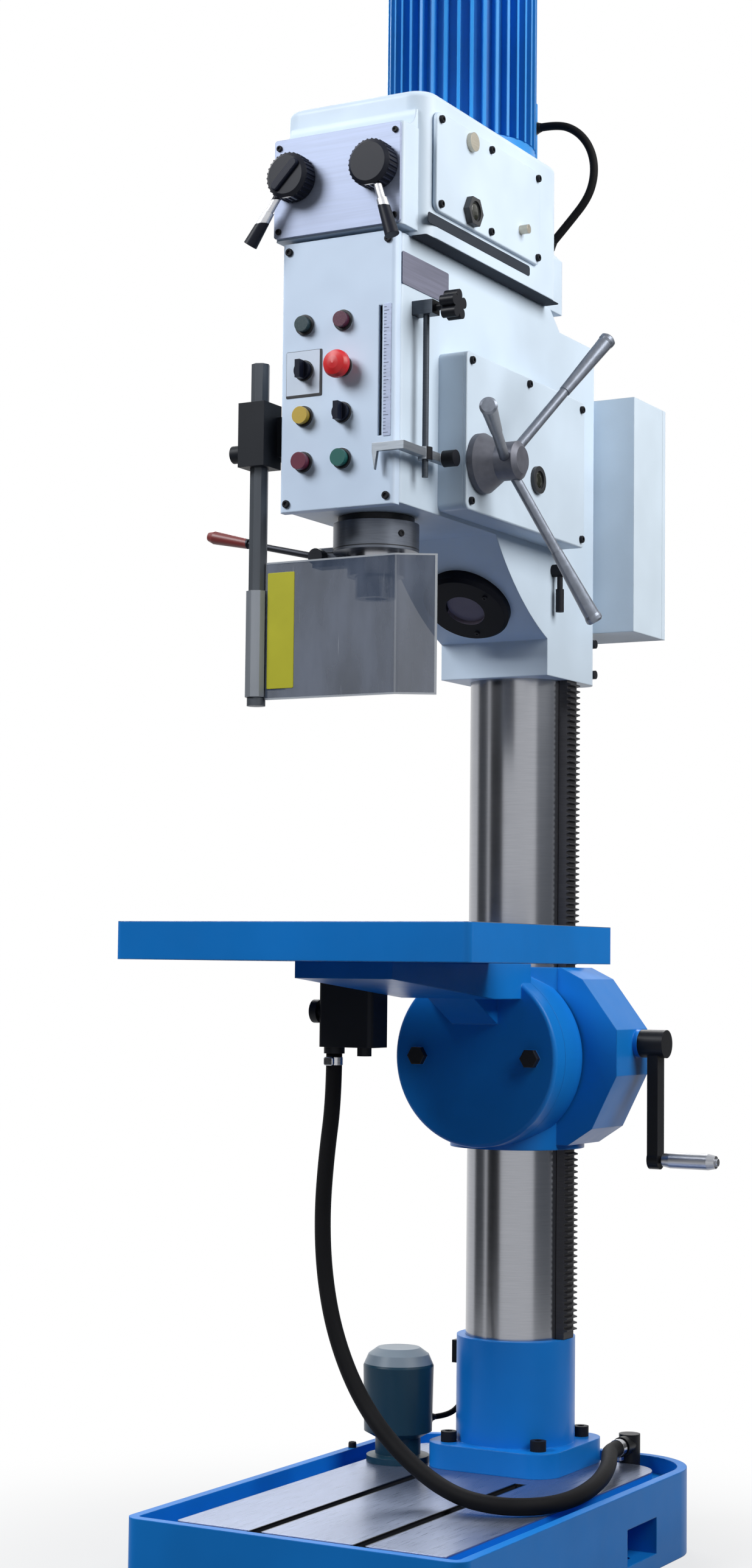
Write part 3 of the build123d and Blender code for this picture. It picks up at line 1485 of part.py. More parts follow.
def contactor_plate():
    back = cabinet_y + cabinet_wall
    front = back + cabinet_wall
    middle = (cabinet_bottom + cabinet_top) / 2
    half = cabinet_width / 2 - mount_plate_margin
    margin = mount_plate_margin * 1.5
    plate = block((-half, half), (back, front), (cabinet_bottom + margin, cabinet_top - margin))
    low = middle + switch_rise
    wide = switch_width / 2
    gear = []
    for place in (-1.5, -0.5, 0.5, 1.5):
        x = place * switch_pitch
        gear.append(block((x - wide, x + wide), (front, front + switch_depth), (low, low + switch_height)))
    end = half - switch_width / 5
    strip = (middle - switch_rise - switch_width, middle - switch_rise)
    rail = block((-end, end), (front, front + switch_depth * 0.6), strip)
    return [plate] + gear + [rail]


# Coolant pump


def coolant_pump():
    top = pad_top + pump_height
    neck = pump_neck / 2
    body = pump_body / 2
    flange = pump_flange / 2
    profile = [(0, pad_top), (flange, pad_top), (flange, pad_top + 10), (neck, pad_top + 12), (neck, pad_top + 38)]
    profile += [(body - 2, pad_top + 48), (body, top - 28), (body - 8, top - 10), (body - 22, top), (0, top)]
    return turned_z(pump_x, fwd(pump_reach), profile)


# Guard


def octagon(width, z):
    face = Pos(guard_rod_x, fwd(guard_rod_reach), z[0]) * RegularPolygon(width / 2, 8, major_radius=False)
    return extrude(face, z[1] - z[0])


def guard_clamp():
    y = fwd(guard_rod_reach)
    z = (guard_clamp_bottom, guard_clamp_top)
    body = block((guard_rod_x - 22, guard_rod_x + 22), (y - 24, y + 24), z)
    body += block((guard_rod_x + 22, -head_side), (fwd(head_front_reach) + 3, y + 52), (z[0] + 18, z[1] - 18))
    body += block((guard_rod_x, guard_rod_x + 22), (y + 24, y + 52), (z[0] + 18, z[1] - 18))
    body -= octagon(guard_rod_width + 2 * air_gap, (z[0] - 1, z[1] + 1))
    knob = rod_x((guard_rod_x - 44, guard_rod_x - 22), y, z[0] + 24, 26)
    return [body, knob]


def guard_rod():
    rod = octagon(guard_rod_width, (guard_sleeve_top, guard_rod_top))
    post = rod_z(guard_rod_x, fwd(guard_rod_reach), (guard_rod_bottom, guard_sleeve_top), guard_rod_width - 4)
    foot = rod_z(guard_rod_x, fwd(guard_rod_reach), (guard_rod_bottom - 12, guard_rod_bottom), guard_rod_width + 2)
    return rod + post + foot


def guard_sleeve():
    z = (guard_rod_bottom + air_gap, guard_sleeve_top - air_gap)
    y = fwd(guard_rod_reach)
    body = octagon(guard_rod_width - 4 + 2 * guard_sleeve_wall, z)
    side = guard_rod_x + (guard_rod_width - 4) / 2 + guard_sleeve_wall
    front = y - guard_sheet_thickness / 2
    body += block((guard_rod_x + 8, side + 30), (front, front + guard_sheet_thickness + 4), (z[0] + 10, z[1] - 6))
    body -= block((guard_rod_x + 14, side + 31), (front - 1, front + guard_sheet_thickness), (z[0], z[1]))
    return body - rod_z(guard_rod_x, y, (z[0] - 1, z[1] + 1), guard_rod_width - 4 + 2 * running_fit)


def guard_sheet():
    y = fwd(guard_rod_reach) - guard_sheet_thickness / 2
    start = guard_rod_x + (guard_rod_width - 4) / 2 + guard_sleeve_wall + 1
    end = start + guard_sheet_width
    turn = math.radians(guard_wing_angle)
    tip = (end + guard_wing * math.cos(turn), y + guard_wing * math.sin(turn))
    back = guard_sheet_thickness
    shift = back * math.tan(turn / 2)
    inner_tip = (tip[0] - back * math.sin(turn), tip[1] + back * math.cos(turn))
    outline = [(start, y), (end, y), tip, inner_tip, (end - shift, y + back), (start, y + back)]
    face = Pos(0, 0, guard_sheet_bottom) * make_face(Polyline(*outline, close=True))
    return extrude(face, guard_sheet_top - guard_sheet_bottom)


# Depth stop, continued


def depth_rod_bracket():
    y = fwd(depth_rod_reach)
    half = depth_bracket_width / 2
    top = depth_rod_top + depth_bracket_height / 10
    z = (top - depth_bracket_height, top)
    face = depth_rod_side + depth_rod_diameter / 2 + half
    bar = block((head_side, face), (y - half, y + half), z)
    bar -= rod_z(depth_rod_side, y, (z[0] - 1, depth_rod_top), depth_rod_diameter + 2 * running_fit)
    middle = (z[0] + z[1]) / 2
    bar += rod_x((face, face + depth_knob_stem), y, middle, depth_knob_stem * 0.65)
    lobes = Circle(depth_knob_core / 2)
    for index in range(5):
        turn = math.radians(90 + index * 72)
        reach = depth_knob_core * 0.54
        lobes += Pos(reach * math.cos(turn), reach * math.sin(turn)) * Circle(depth_knob_lobe / 2)
    knob = extrude(Plane.YZ.offset(face + depth_knob_stem) * Pos(y, middle) * lobes, depth_knob_length)
    return bar + knob


def depth_arm():
    y = fwd(depth_rod_reach)
    half = depth_arm_bar / 2
    z = (depth_arm_height - half, depth_arm_height + half)
    front = fwd(panel_face_reach) - bezel_height
    side = depth_rod_side
    body = block((side - half, side + half), (front - depth_arm_bar, feed_box_front - 12), z)
    body += block((scale_slot_x - 4, side + half), (front - depth_arm_bar, front - depth_arm_bar / 2), z)
    pointer = [(scale_slot_x - 4, z[0]), (scale_slot_x + 4, z[0]), (scale_slot_x, z[0] - 26)]
    body += prism_y(pointer, (front - depth_arm_bar, front - depth_arm_bar / 2))
    body += rod_z(side, y, (z[0] - 3, z[1] + 3), depth_rod_diameter + 12)
    knob_y = feed_box_front - 26
    body += rod_x((side + half, side + half + 20), knob_y, depth_arm_height, 24)
    return body - rod_z(side, y, (z[0] - 4, z[1] + 4), depth_rod_diameter + 2 * running_fit)


# Write every sub-part

sub_parts = {
    "base_casting": base_casting(),
    "pedestal": pedestal(),
    "frame_bolts": frame_bolts() + head_clamp_bolts(),
    "column": column(),
    "column_rack": column_rack(),
    "table_bracket": table_bracket(),
    "bracket_bolts": bracket_bolts(),
    "lift_pinion": lift_pinion(),
    "crank": [crank(), crank_grip()],
    "table_top": table_top(),
    "table_arm": [table_arm()] + tilt_bolts(),
    "table_drain": table_drain(),
    "head_casting": head_casting(),
    "work_lamp": work_lamp(),
    "front_panel": front_panel(),
    "pilot_lamps": pilot_lamps(),
    "mode_selector": selector(0, 1),
    "emergency_stop": emergency_stop(),
    "yellow_button": push_button(0, 2, 25, 6),
    "feed_selector": selector(1, 2),
    "red_button": push_button(0, 3, 25, 8),
    "green_button": push_button(1, 3, 25, 6),
    "quill": quill(),
    "quill_collar": quill_collar(),
    "collar_lever": collar_lever(),
    "spindle_bearings": spindle_bearings(),
    "spindle": spindle(),
    "feed_housing": feed_housing(),
    "feed_cover": feed_cover(),
    "feed_pinion": feed_pinion(),
    "capstan_hub": capstan_hub(),
    "capstan_arms": capstan_arm_group(),
    "head_lock_lever": head_lock_lever(),
    "depth_rod": [depth_rod(), depth_rod_bracket()],
    "depth_arm": depth_arm(),
    "gearbox_casting": gearbox_casting(),
    "gearbox_side_cover": gearbox_side_cover(),
    "oil_plugs": oil_plugs(),
    "shift_plate": shift_plate(),
    "left_speed_knob": speed_knob(-speed_knob_pitch / 2, speed_lever_left),
    "right_speed_knob": speed_knob(speed_knob_pitch / 2, speed_lever_right),
    "gearbox_bearings": gearbox_bearings(),
    "spindle_drive_gear": spindle_drive_gear(),
    "low_countershaft": low_countershaft(),
    "high_countershaft": high_countershaft(),
    "motor_pinion": motor_pinion(),
    "motor_frame": motor_frame(),
    "fan_cowl": fan_cowl(),
    "line_fittings": [terminal_box()] + line_fittings(),
    "motor_cable": motor_cable(),
    "cabinet_box": cabinet_box(),
    "cabinet_door": cabinet_door(),
    "contactor_plate": contactor_plate(),
    "coolant_pump": coolant_pump(),
    "pump_cable": pump_cable(),
    "drain_hose": drain_hose(),
    "guard_clamp": guard_clamp(),
    "guard_rod": guard_rod(),
    "guard_sleeve": guard_sleeve(),
    "guard_sheet": guard_sheet(),
}

os.makedirs("parts", exist_ok=True)
for name, shape in sub_parts.items():
    solids = shape if isinstance(shape, list) else [shape]
    group = Compound(children=[solid for piece in solids for solid in piece.solids()])
    export_step(group, f"parts/{name}.step")
print("nodes", len(sub_parts))
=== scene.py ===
# %% [markdown]
# # A geared column drill press
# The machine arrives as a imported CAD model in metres, with every part already in its place. This
# lesson dresses it: a camera, the hose and cables, paint and metal finishes, and the small pieces
# that a designer leaves out of the solids, such as screws, clips, plates and graduations.

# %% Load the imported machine
import math

import bmesh
import bpy
from mathutils import Matrix, Vector
from mathutils.kdtree import KDTree


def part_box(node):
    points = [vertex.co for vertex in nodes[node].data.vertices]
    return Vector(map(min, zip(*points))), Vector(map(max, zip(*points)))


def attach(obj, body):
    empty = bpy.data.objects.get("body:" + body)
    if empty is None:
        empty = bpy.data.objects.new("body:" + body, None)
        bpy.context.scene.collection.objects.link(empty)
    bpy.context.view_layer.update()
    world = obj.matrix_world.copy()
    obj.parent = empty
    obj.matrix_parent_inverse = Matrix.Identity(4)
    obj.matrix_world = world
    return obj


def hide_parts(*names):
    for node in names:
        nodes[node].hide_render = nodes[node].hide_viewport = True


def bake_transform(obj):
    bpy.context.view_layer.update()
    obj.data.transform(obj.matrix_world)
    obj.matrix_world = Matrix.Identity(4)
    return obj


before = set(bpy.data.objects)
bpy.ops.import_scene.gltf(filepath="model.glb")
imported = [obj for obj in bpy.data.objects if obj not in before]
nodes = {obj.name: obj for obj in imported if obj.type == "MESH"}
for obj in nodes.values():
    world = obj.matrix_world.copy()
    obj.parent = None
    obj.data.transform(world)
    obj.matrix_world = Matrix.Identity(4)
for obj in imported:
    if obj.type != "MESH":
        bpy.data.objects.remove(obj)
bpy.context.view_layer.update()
scene = bpy.context.scene

# %% [markdown]
# ## The camera
# The picture was taken from the machine's right front, a little below the middle of its height, so
# the table is seen edge-on from below. The camera's place, its two angles and its slight roll are
# typed in, and the three directions of its matrix are worked out from them.

# %% Set the camera


def placed(name, data):
    thing = bpy.data.objects.new(name, data)
    scene.collection.objects.link(thing)
    return thing


camera_place = (1.8478, -3.3974, 0.9035)
azimuth, elevation, roll = (math.radians(angle) for angle in (29.459, -4.028, 0.606))
level_share = math.cos(elevation)
back = Vector((math.sin(azimuth) * level_share, -math.cos(azimuth) * level_share, math.sin(elevation)))
right = Vector((math.cos(azimuth), math.sin(azimuth), 0))
up = back.cross(right)
side = right * math.cos(roll) + up * math.sin(roll)
top = up * math.cos(roll) - right * math.sin(roll)
lens = bpy.data.cameras.new("view")
lens.sensor_fit = "VERTICAL"
lens.sensor_height = 36
lens.lens = 59.48
camera = placed("view", lens)
camera_turn = Matrix((side, top, back)).transposed().to_4x4()
camera.matrix_world = Matrix.Translation(camera_place) @ camera_turn
scene.camera = camera
print("camera at", [round(v, 3) for v in camera.location])

# %% [markdown]
# ## Hose and cables
# A drain hose falls from the table, lies in a loop on the base and ends in an elbow. A cable joins
# the motor's terminal box to the head, and another feeds the coolant pump. Each is one smooth NURBS
# line on the route that the solids follow, given a round bevel: a line of straight runs would look
# like bent wire. The hose also has to follow the table as it swings round the column, is cranked up
# and down and tilts. A mesh can bend across one joint, so the hose's line becomes a tube and the tube
# is parted into three stretches, end to end: a loop on the base, a long rise and a short head.

# %% Draw the hose's line
hose_width = .025
hose_route = [(-.165, .045, .770), (-.165, .045, .700), (-.177, .045, .612), (-.184, .046, .522),
              (-.178, .045, .432), (-.156, .041, .346), (-.112, .031, .266), (-.050, .015, .205),
              (.024, -.007, .163), (.094, -.030, .142), (.156, -.033, .1365), (.198, -.009, .1355),
              (.222, .033, .1355), (.228, .105, .1365), (.216, .195, .141), (.193, .275, .146),
              (.165, .341, .1495), (.1495, .377, .150), (.1495, .419, .150)]


def cord_line(name, route, diameter):
    curve = bpy.data.curves.new(name, "CURVE")
    curve.dimensions = "3D"
    curve.bevel_depth = diameter / 2
    curve.bevel_resolution = 6
    curve.use_fill_caps = True
    spline = curve.splines.new("NURBS")
    spline.points.add(len(route) - 1)
    for point, place in zip(spline.points, route):
        point.co = (*place, 1)
    spline.order_u = 3
    spline.use_endpoint_u = True
    return placed(name, curve)


hose_line = cord_line("hose_line", hose_route, hose_width)
print("hose drawn through", len(hose_route), "points")

# %% Part the hose into three stretches
head_foot_height = .56
rise_foot_x = .04


def evaluated(piece):
    bpy.context.view_layer.update()
    return bpy.data.meshes.new_from_object(piece.evaluated_get(bpy.context.evaluated_depsgraph_get()))


def stretch(name, tube, path, first, last):
    middles = KDTree(len(path) - 1)
    for index, (one, two) in enumerate(zip(path, path[1:])):
        middles.insert((one + two) / 2, index)
    middles.balance()
    part = bmesh.new()
    part.from_mesh(tube)
    bmesh.ops.remove_doubles(part, verts=part.verts, dist=1e-6)
    nearest = {face: middles.find(face.calc_center_median())[1] for face in part.faces}
    others = [face for face, index in nearest.items() if not first <= index < last]
    bmesh.ops.delete(part, geom=others, context="FACES")
    open_rims = [edge for edge in part.edges if edge.is_boundary]
    bmesh.ops.holes_fill(part, edges=open_rims)
    # A cap that shares its rim with the wall would draw a shaded ring on the hose.
    bmesh.ops.split_edges(part, edges=open_rims)
    mesh = bpy.data.meshes.new(name)
    part.to_mesh(mesh)
    part.free()
    return placed(name, mesh), path[first:last + 1]


hose_tube = evaluated(hose_line)
hose_line.data.bevel_depth = 0
hose_path = [point.co.copy() for point in evaluated(hose_line).vertices]
bpy.data.objects.remove(hose_line)
head_end = next(index for index, point in enumerate(hose_path) if point.z < head_foot_height)
rise_end = next(index for index, point in enumerate(hose_path) if point.x > rise_foot_x)
hose_head, head_path = stretch("hose_head", hose_tube, hose_path, 0, head_end)
hose_rise, rise_path = stretch("hose_rise", hose_tube, hose_path, head_end, rise_end)
hose_loop, loop_path = stretch("hose_loop", hose_tube, hose_path, rise_end, len(hose_path) - 1)
print("hose in", [piece.name for piece in (hose_head, hose_rise, hose_loop)])

# %% Draw the two cables
motor_line_width = .013
pump_line_width = .009
motor_route = [(.075, .2555, 2.2425), (.106, .2555, 2.2425), (.1343, .2575, 2.2299), (.155, .260, 2.2064),
               (.1646, .263, 2.1769), (.1624, .266, 2.146), (.1493, .269, 2.1179), (.1192, .273, 2.0892),
               (.0897, .273, 2.0597)]
pump_route = [(-.1351, .3271, .184), (-.1236, .3516, .184), (-.1137, .3728, .1975), (-.108, .385, .2209),
              (-.108, .385, .2479)]
motor_cable = cord_line("motor_line", motor_route, motor_line_width)
pump_cable = cord_line("pump_line", pump_route, pump_line_width)
print("cables", motor_cable.name, pump_cable.name)

# %% [markdown]
# ## Wires for shader maths
# Materials are node trees, and trees are clumsy to write by hand. `Wire` holds one socket and
# overloads the operators, so a mask can be written as an expression. Every other node comes from
# its one `node` method, which takes the node's type, its settings and the values of its sockets.
# `finish` turns a recipe of such expressions into a material and keeps it under its name.

# %% Wrap a socket


class Wire:
    def __init__(self, tree, socket=None):
        self.tree = tree
        self.socket = socket

    def node(self, kind, settings=None, values=None, out=0):
        made = self.tree.nodes.new(kind)
        for name, value in (settings or {}).items():
            setattr(made, name, value)
        for place, value in (values or {}).items():
            if isinstance(value, Wire):
                self.tree.links.new(value.socket, made.inputs[place])
            else:
                made.inputs[place].default_value = value
        return Wire(self.tree, made.outputs[out])

    def beside(self, out):
        return Wire(self.tree, self.socket.node.outputs[out])

    def math(self, operation, *values):
        return self.node("ShaderNodeMath", {"operation": operation}, dict(enumerate(values)))

    def __add__(self, other):
        return self.math("ADD", self, other)

    def __radd__(self, other):
        return self.math("ADD", other, self)

    def __sub__(self, other):
        return self.math("SUBTRACT", self, other)

    def __rsub__(self, other):
        return self.math("SUBTRACT", other, self)

    def __mul__(self, other):
        return self.math("MULTIPLY", self, other)

    def __rmul__(self, other):
        return self.math("MULTIPLY", other, self)

    def __gt__(self, other):
        return self.math("GREATER_THAN", self, other)

    def __lt__(self, other):
        return self.math("LESS_THAN", self, other)

    def __abs__(self):
        return self.math("ABSOLUTE", self)

    def __or__(self, other):
        return self.math("MAXIMUM", self, other)

    def smaller(self, other):
        return self.math("MINIMUM", self, other)

    def rest(self, pitch):
        return self.math("MODULO", self, pitch)

    def root(self):
        return self.math("SQRT", self)

    def step(self, low, high):
        smooth = {"interpolation_type": "SMOOTHSTEP"}
        return self.node("ShaderNodeMapRange", smooth, {0: self, 1: low, 2: high})

    def mix(self, first, second):
        # A colour Mix node keeps its two colours in sockets 6 and 7 and its result in output 2.
        return self.node("ShaderNodeMix", {"data_type": "RGBA"}, {0: self, 6: first, 7: second}, out=2)

    def axes(self):
        x = self.node("ShaderNodeSeparateXYZ", values={0: self})
        return x, x.beside("Y"), x.beside("Z")

    def noise(self, scale, detail=2, stretch=(1, 1, 1)):
        place = self
        if stretch != (1, 1, 1):
            place = self.node("ShaderNodeMapping", values={"Vector": self, "Scale": stretch})
        return self.node("ShaderNodeTexNoise", values={"Vector": place, "Scale": scale, "Detail": detail})


def rgba(colour, share=1.0):
    return tuple(min(1, channel * share) for channel in colour) + (1,)


finishes = {}


def finish(name, recipe, **fixed):
    material = bpy.data.materials.new(name)
    material.use_nodes = True
    tree = material.node_tree
    shader = tree.nodes["Principled BSDF"]
    for socket, value in fixed.items():
        shader.inputs[socket.replace("_", " ")].default_value = value
    place = Wire(tree).node("ShaderNodeTexCoord", out="Object")
    for socket, wire in recipe(place).items():
        tree.links.new(wire.socket, shader.inputs[socket])
    finishes[name] = material


print("wires ready")

# %% [markdown]
# ## Paint
# The castings are sprayed with gloss enamel: thick, a little wavy, with a fine orange peel, and
# paler in patches along the edges, which is part handled wear and part a painted edge highlight. The
# Bevel node gives the sharp CAD edges a rounded normal, and comparing that normal with the true one
# finds the edges for that paler line. Where a face was machined after painting, a mask on the part's
# own coordinates lets bare iron show.

# %% Mix the enamel
# Painted shade: this near-black colour fills the inside of the T-slots and spreads a little past their
# mouths.
painted_slot_shade = (.02, .022, .028)


def milled_iron(p):
    lines = p.noise(scale=900, detail=3, stretch=(1, .02, 1))
    cloud = p.noise(scale=14, detail=4)
    tone = lines.step(.3, .7).mix(rgba((.22, .266, .382)), rgba((.295, .345, .485)))
    return cloud.step(.35, .7).mix(tone, rgba((.255, .30, .425))), .20 + lines * .20


def rounded(p, radius):
    return p.node("ShaderNodeBevel", {"samples": 4}, {"Radius": radius})


def edges(soft):
    flat = soft.node("ShaderNodeNewGeometry", out="Normal")
    dot = {"operation": "DOT_PRODUCT"}
    return 1 - soft.node("ShaderNodeVectorMath", dot, {0: soft, 1: flat}, out="Value")


def bumped(height, soft, strength, depth):
    values = {"Strength": strength, "Distance": depth, "Height": height, "Normal": soft}
    return soft.node("ShaderNodeBump", values=values)


def enamel(colour, edge=1.5, rough=.26, peel=.00008, radius=.0025, bare=None, slot_shade_mask=None):
    def recipe(p):
        cloud = p.noise(scale=4.5, detail=3)
        tone = cloud.step(.3, .72).mix(rgba(colour, .92), rgba(colour, 1.08))
        soft = rounded(p, radius)
        # Paler patches along the edges: part handled wear, part a painted edge highlight.
        wear_and_edge_highlight = edges(soft).step(.03, .25) * p.noise(scale=45, detail=4).step(.38, .72)
        tone = (wear_and_edge_highlight * .55).mix(tone, rgba(tuple(c * edge + .02 for c in colour)))
        roughness = rough + p.noise(scale=30, detail=3) * .14
        made = {}
        if bare is not None:
            cut = bare(*p.axes())
            iron, dull = milled_iron(p)
            tone = cut.mix(tone, iron)
            roughness = roughness * (1 - cut) + dull * cut
            made["Metallic"] = cut * .85
        # Painted shade in the T-slots.
        if slot_shade_mask is not None:
            tone = slot_shade_mask(*p.axes()).mix(tone, rgba(painted_slot_shade))
        swell = p.noise(scale=240) + p.noise(scale=38) * 1.6
        normal = bumped(swell, soft, strength=.5, depth=peel)
        made.update({"Base Color": tone, "Roughness": roughness, "Normal": normal})
        return made
    return recipe


print("enamel mixed")

# %% Spray the castings
# The limits of each mask are metres on the machine, as in the CAD model.
blue = (.008, .205, .66)
motor_blue = (.030, .250, .65)
pale = (.61, .72, .84)
cabinet_pale = (.66, .77, .88)
base_slot_x = .083
table_slot_x = .1


def inside(value, low, high):
    return (value > low) * (value < high)


def base_pad(x, y, z):
    return inside(z, .1195, .1235) * inside(x, -.2155, .2155) * inside(y, -.2965, .4365)


# The base's T-slots, inside and a little wider at the mouth, which take the painted shade.
def base_slot_shade(x, y, z):
    off_middle = abs(abs(x) - base_slot_x)
    wide = (off_middle < .0145) * inside(z, .09, .1212)
    mouth = (off_middle < .0102) * inside(z, .12, .1235)
    return (wide | mouth) * inside(y, -.2965, .197)


def table_face(x, y, z):
    return z > .9632


# The table's T-slots, which take the painted shade.
def table_slot_shade(x, y, z):
    return (abs(abs(x) - table_slot_x) < .0145) * inside(z, .93, .963) * inside(y, -.342, .052)


finish("blue_casting", enamel(blue), Specular_IOR_Level=.2)
finish("blue_base", enamel(blue, bare=base_pad, slot_shade_mask=base_slot_shade), Specular_IOR_Level=.08)
finish("blue_table", enamel(blue, bare=table_face, slot_shade_mask=table_slot_shade), Specular_IOR_Level=.2)
finish("blue_motor", enamel(motor_blue, edge=1.15, radius=.0012, peel=.00005), Specular_IOR_Level=.15)
finish("pale_casting", enamel(pale, edge=1.12, rough=.32), Specular_IOR_Level=.3)
finish("pale_sheet", enamel(cabinet_pale, edge=1.1, rough=.38, peel=.00012), Specular_IOR_Level=.25)
print("paints", list(finishes))

# %% [markdown]
# ## Metal, plastic and rubber
# Bare steel is told apart by its tool marks: the column is ground round, so its fine lines run
# round it, while a plate is brushed along its length. One recipe stretches a noise along the marks.
# Bolts are blackened and slightly blotchy, plastics have a moulded grain, and rubber is dull.

# %% Write the recipes of steel and plastic


def steel(colour, rough=.2, stretch=(1, 1, 40), scale=30, radius=.0008, blotch=.06, contrast=.12):
    def recipe(p):
        lines = p.noise(scale, 4, stretch)
        cloud = p.noise(scale=9, detail=4)
        tone = lines.step(.25, .75).mix(rgba(colour, 1 - contrast), rgba(colour, 1 + contrast))
        tone = (cloud.step(.45, .8) * .35).mix(tone, rgba(colour, .8))
        roughness = rough + lines * contrast + cloud * blotch
        normal = bumped(lines, rounded(p, radius), strength=contrast, depth=.00003)
        return {"Base Color": tone, "Roughness": roughness, "Normal": normal}
    return recipe


def moulded(colour, rough=.32, grain=900, depth=.00003, radius=.001):
    def recipe(p):
        fine = p.noise(scale=grain)
        cloud = p.noise(scale=18, detail=3)
        soft = rounded(p, radius)
        tone = cloud.mix(rgba(colour, .85), rgba(tuple(c * 1.12 + .004 for c in colour)))
        # Every edge is made paler: part rubbed wear, part a painted edge highlight.
        edge_wear_and_highlight = edges(soft).step(.05, .35) * .35
        tone = edge_wear_and_highlight.mix(tone, rgba(tuple(c * 1.5 + .02 for c in colour)))
        normal = bumped(fine, soft, strength=.4, depth=depth)
        return {"Base Color": tone, "Roughness": rough + fine * .12, "Normal": normal}
    return recipe


def two_finishes(first, second, mask, metal=(0, 0)):
    def recipe(p):
        a = first(p)
        b = second(p)
        share = mask(*p.axes())
        made = {"Base Color": share.mix(a["Base Color"], b["Base Color"]), "Normal": a["Normal"]}
        made["Roughness"] = a["Roughness"] * (1 - share) + b["Roughness"] * share
        if metal[0] != metal[1]:
            made["Metallic"] = share * (metal[1] - metal[0]) + metal[0]
        return made
    return recipe


def smoke(p):
    x, y, z = p.axes()
    streak = p.noise(scale=16, detail=4, stretch=(1, 1, .3))
    scratch = p.noise(scale=300, stretch=(1, 1, .03)).step(.7, .78)
    # The fold and the sheet's edges are painted paler and more opaque: a painted highlight along the bend
    # and the edges.
    fold = (abs(x - .0965) < .0012) * .3
    rim = (z > 1.4805) | (z < 1.2865) | (x > .1435) | fold
    tone = streak.step(.3, .7).mix(rgba((.04, .06, .10)), rgba((.14, .17, .24)))
    tone = (rim * .75 | scratch * .5).mix(tone, rgba((.55, .58, .62)))
    return {"Base Color": tone, "Roughness": .12 + scratch * .3, "Alpha": .68 + streak * .12 + rim * .2}


print("recipes ready")

# %% Make the other finishes


def metal_finish(name, colour, metallic, **marks):
    finish(name, steel(colour, **marks), Metallic=metallic)


def moulded_finish(name, colour, specular, **grain):
    finish(name, moulded(colour, **grain), Specular_IOR_Level=specular)


metal_finish("ground_steel", (.33, .34, .37), 1, rough=.16, stretch=(1, 1, 50), scale=22, contrast=.05)
metal_finish("turned_steel", (.50, .51, .54), 1, rough=.2, stretch=(1, 1, 30), scale=40, contrast=.06)
metal_finish("bar_steel", (.17, .19, .23), .85, rough=.3, stretch=(1, 1, 1), scale=120)
metal_finish("gear_steel", (.30, .30, .31), 1, rough=.3, stretch=(1, 1, 12), scale=60, blotch=.14)
metal_finish("rack_steel", (.05, .05, .056), .8, rough=.42, stretch=(1, 1, 20), scale=50)
metal_finish("satin_plate", (.33, .38, .52), .3, rough=.45, stretch=(.03, 1, 1), scale=260, contrast=.09)
metal_finish("label_plate", (.17, .175, .24), .4, rough=.45, stretch=(1, .03, 1), scale=300)
metal_finish("hub_iron", (.10, .105, .13), .5, rough=.4, stretch=(1, 1, 1), scale=90)
metal_finish("post_steel", (.075, .085, .10), .6, rough=.38, stretch=(1, 1, .05), scale=60)
metal_finish("sleeve_grey", (.24, .26, .29), .6, rough=.35, stretch=(1, 1, .05), scale=60)
moulded_finish("black_plastic", (.006, .009, .022), specular=.12)
moulded_finish("dark_paint", (.010, .012, .017), specular=.15, rough=.42)
moulded_finish("red_plastic", (.62, .018, .022), specular=.4, rough=.28)
moulded_finish("wine_plastic", (.13, .014, .04), specular=.4, rough=.28)
moulded_finish("yellow_plastic", (.52, .36, .04), specular=.4, rough=.3)
moulded_finish("green_plastic", (.008, .12, .105), specular=.4, rough=.28)
moulded_finish("yellow_film", (.50, .48, .02), specular=.3, rough=.45, grain=400)
moulded_finish("rubber", (.005, .005, .006), specular=.1, rough=.6, grain=500, depth=.00008, radius=.00002)
# A dull dark grey for the strips of painted shade under the side cover and under the gearbox.
moulded_finish("shade_strip_grey", (.034, .041, .054), specular=.1, rough=.7, grain=500, depth=.00006)
moulded_finish("sight_glass", (.020, .022, .016), specular=.5, rough=.12)
finish("black_oxide", steel((.010, .011, .015), rough=.4, stretch=(1, 1, 1), scale=220, blotch=.2),
       Specular_IOR_Level=.15)
finish("smoked_sheet", smoke, IOR=1.5)
print("finishes", len(finishes))

# %% [markdown]
# ## Dress the solids
# Most nodes take one finish. A few hold pieces of two finishes, such as the crank with its black
# arm and bright grip: there a mask on the part's coordinates tells the pieces apart.

# %% Tell the two finishes of a part by a plane or two


def pump_cap(x, y, z):
    return z > .2755


def tilt_heads(x, y, z):
    bolt_x, bolt_z, half = .098, .765, .019
    return inside(y, .18, .1929) * (abs(abs(x) - bolt_x) < half) * (abs(z - bolt_z) < half)


# The neck between collar and head, and a thin groove line, are painted near black: painted shade in the gap
# under the head and in the groove.
def collar_neck_painted_shade(x, y, z):
    groove_z = 1.509
    return (z > 1.5464) | (abs(z - groove_z) < .0008)


def lamp_colour(x, y, z):
    return x > -.022


def crank_grip(x, y, z):
    return (x > .2402) * (z < .64)


def lever_tip(x, y, z):
    return x < -.208


def knob_neck(x, y, z):
    return inside(z, 1.972, 2.004) * (y < -.268)


def rod_knob(x, y, z):
    return x > .127


def stop_knob(x, y, z):
    return x > .1185


def fittings_black(x, y, z):
    return 1 - (z > 2.19) * (x < .0572)


def plate_of_switchgear(x, y, z):
    return y > .4481


def plugs_black(x, y, z):
    return 1 - (inside(z, 2.09, 2.13) | (y > .05) * (z > 1.9))


finish("pump_finish", two_finishes(enamel((.010, .042, .072), radius=.0015),
                                   enamel((.20, .25, .30), radius=.0015), pump_cap), Specular_IOR_Level=.2)
finish("arm_finish", two_finishes(enamel(blue), moulded((.010, .011, .015)), tilt_heads),
       Specular_IOR_Level=.2)
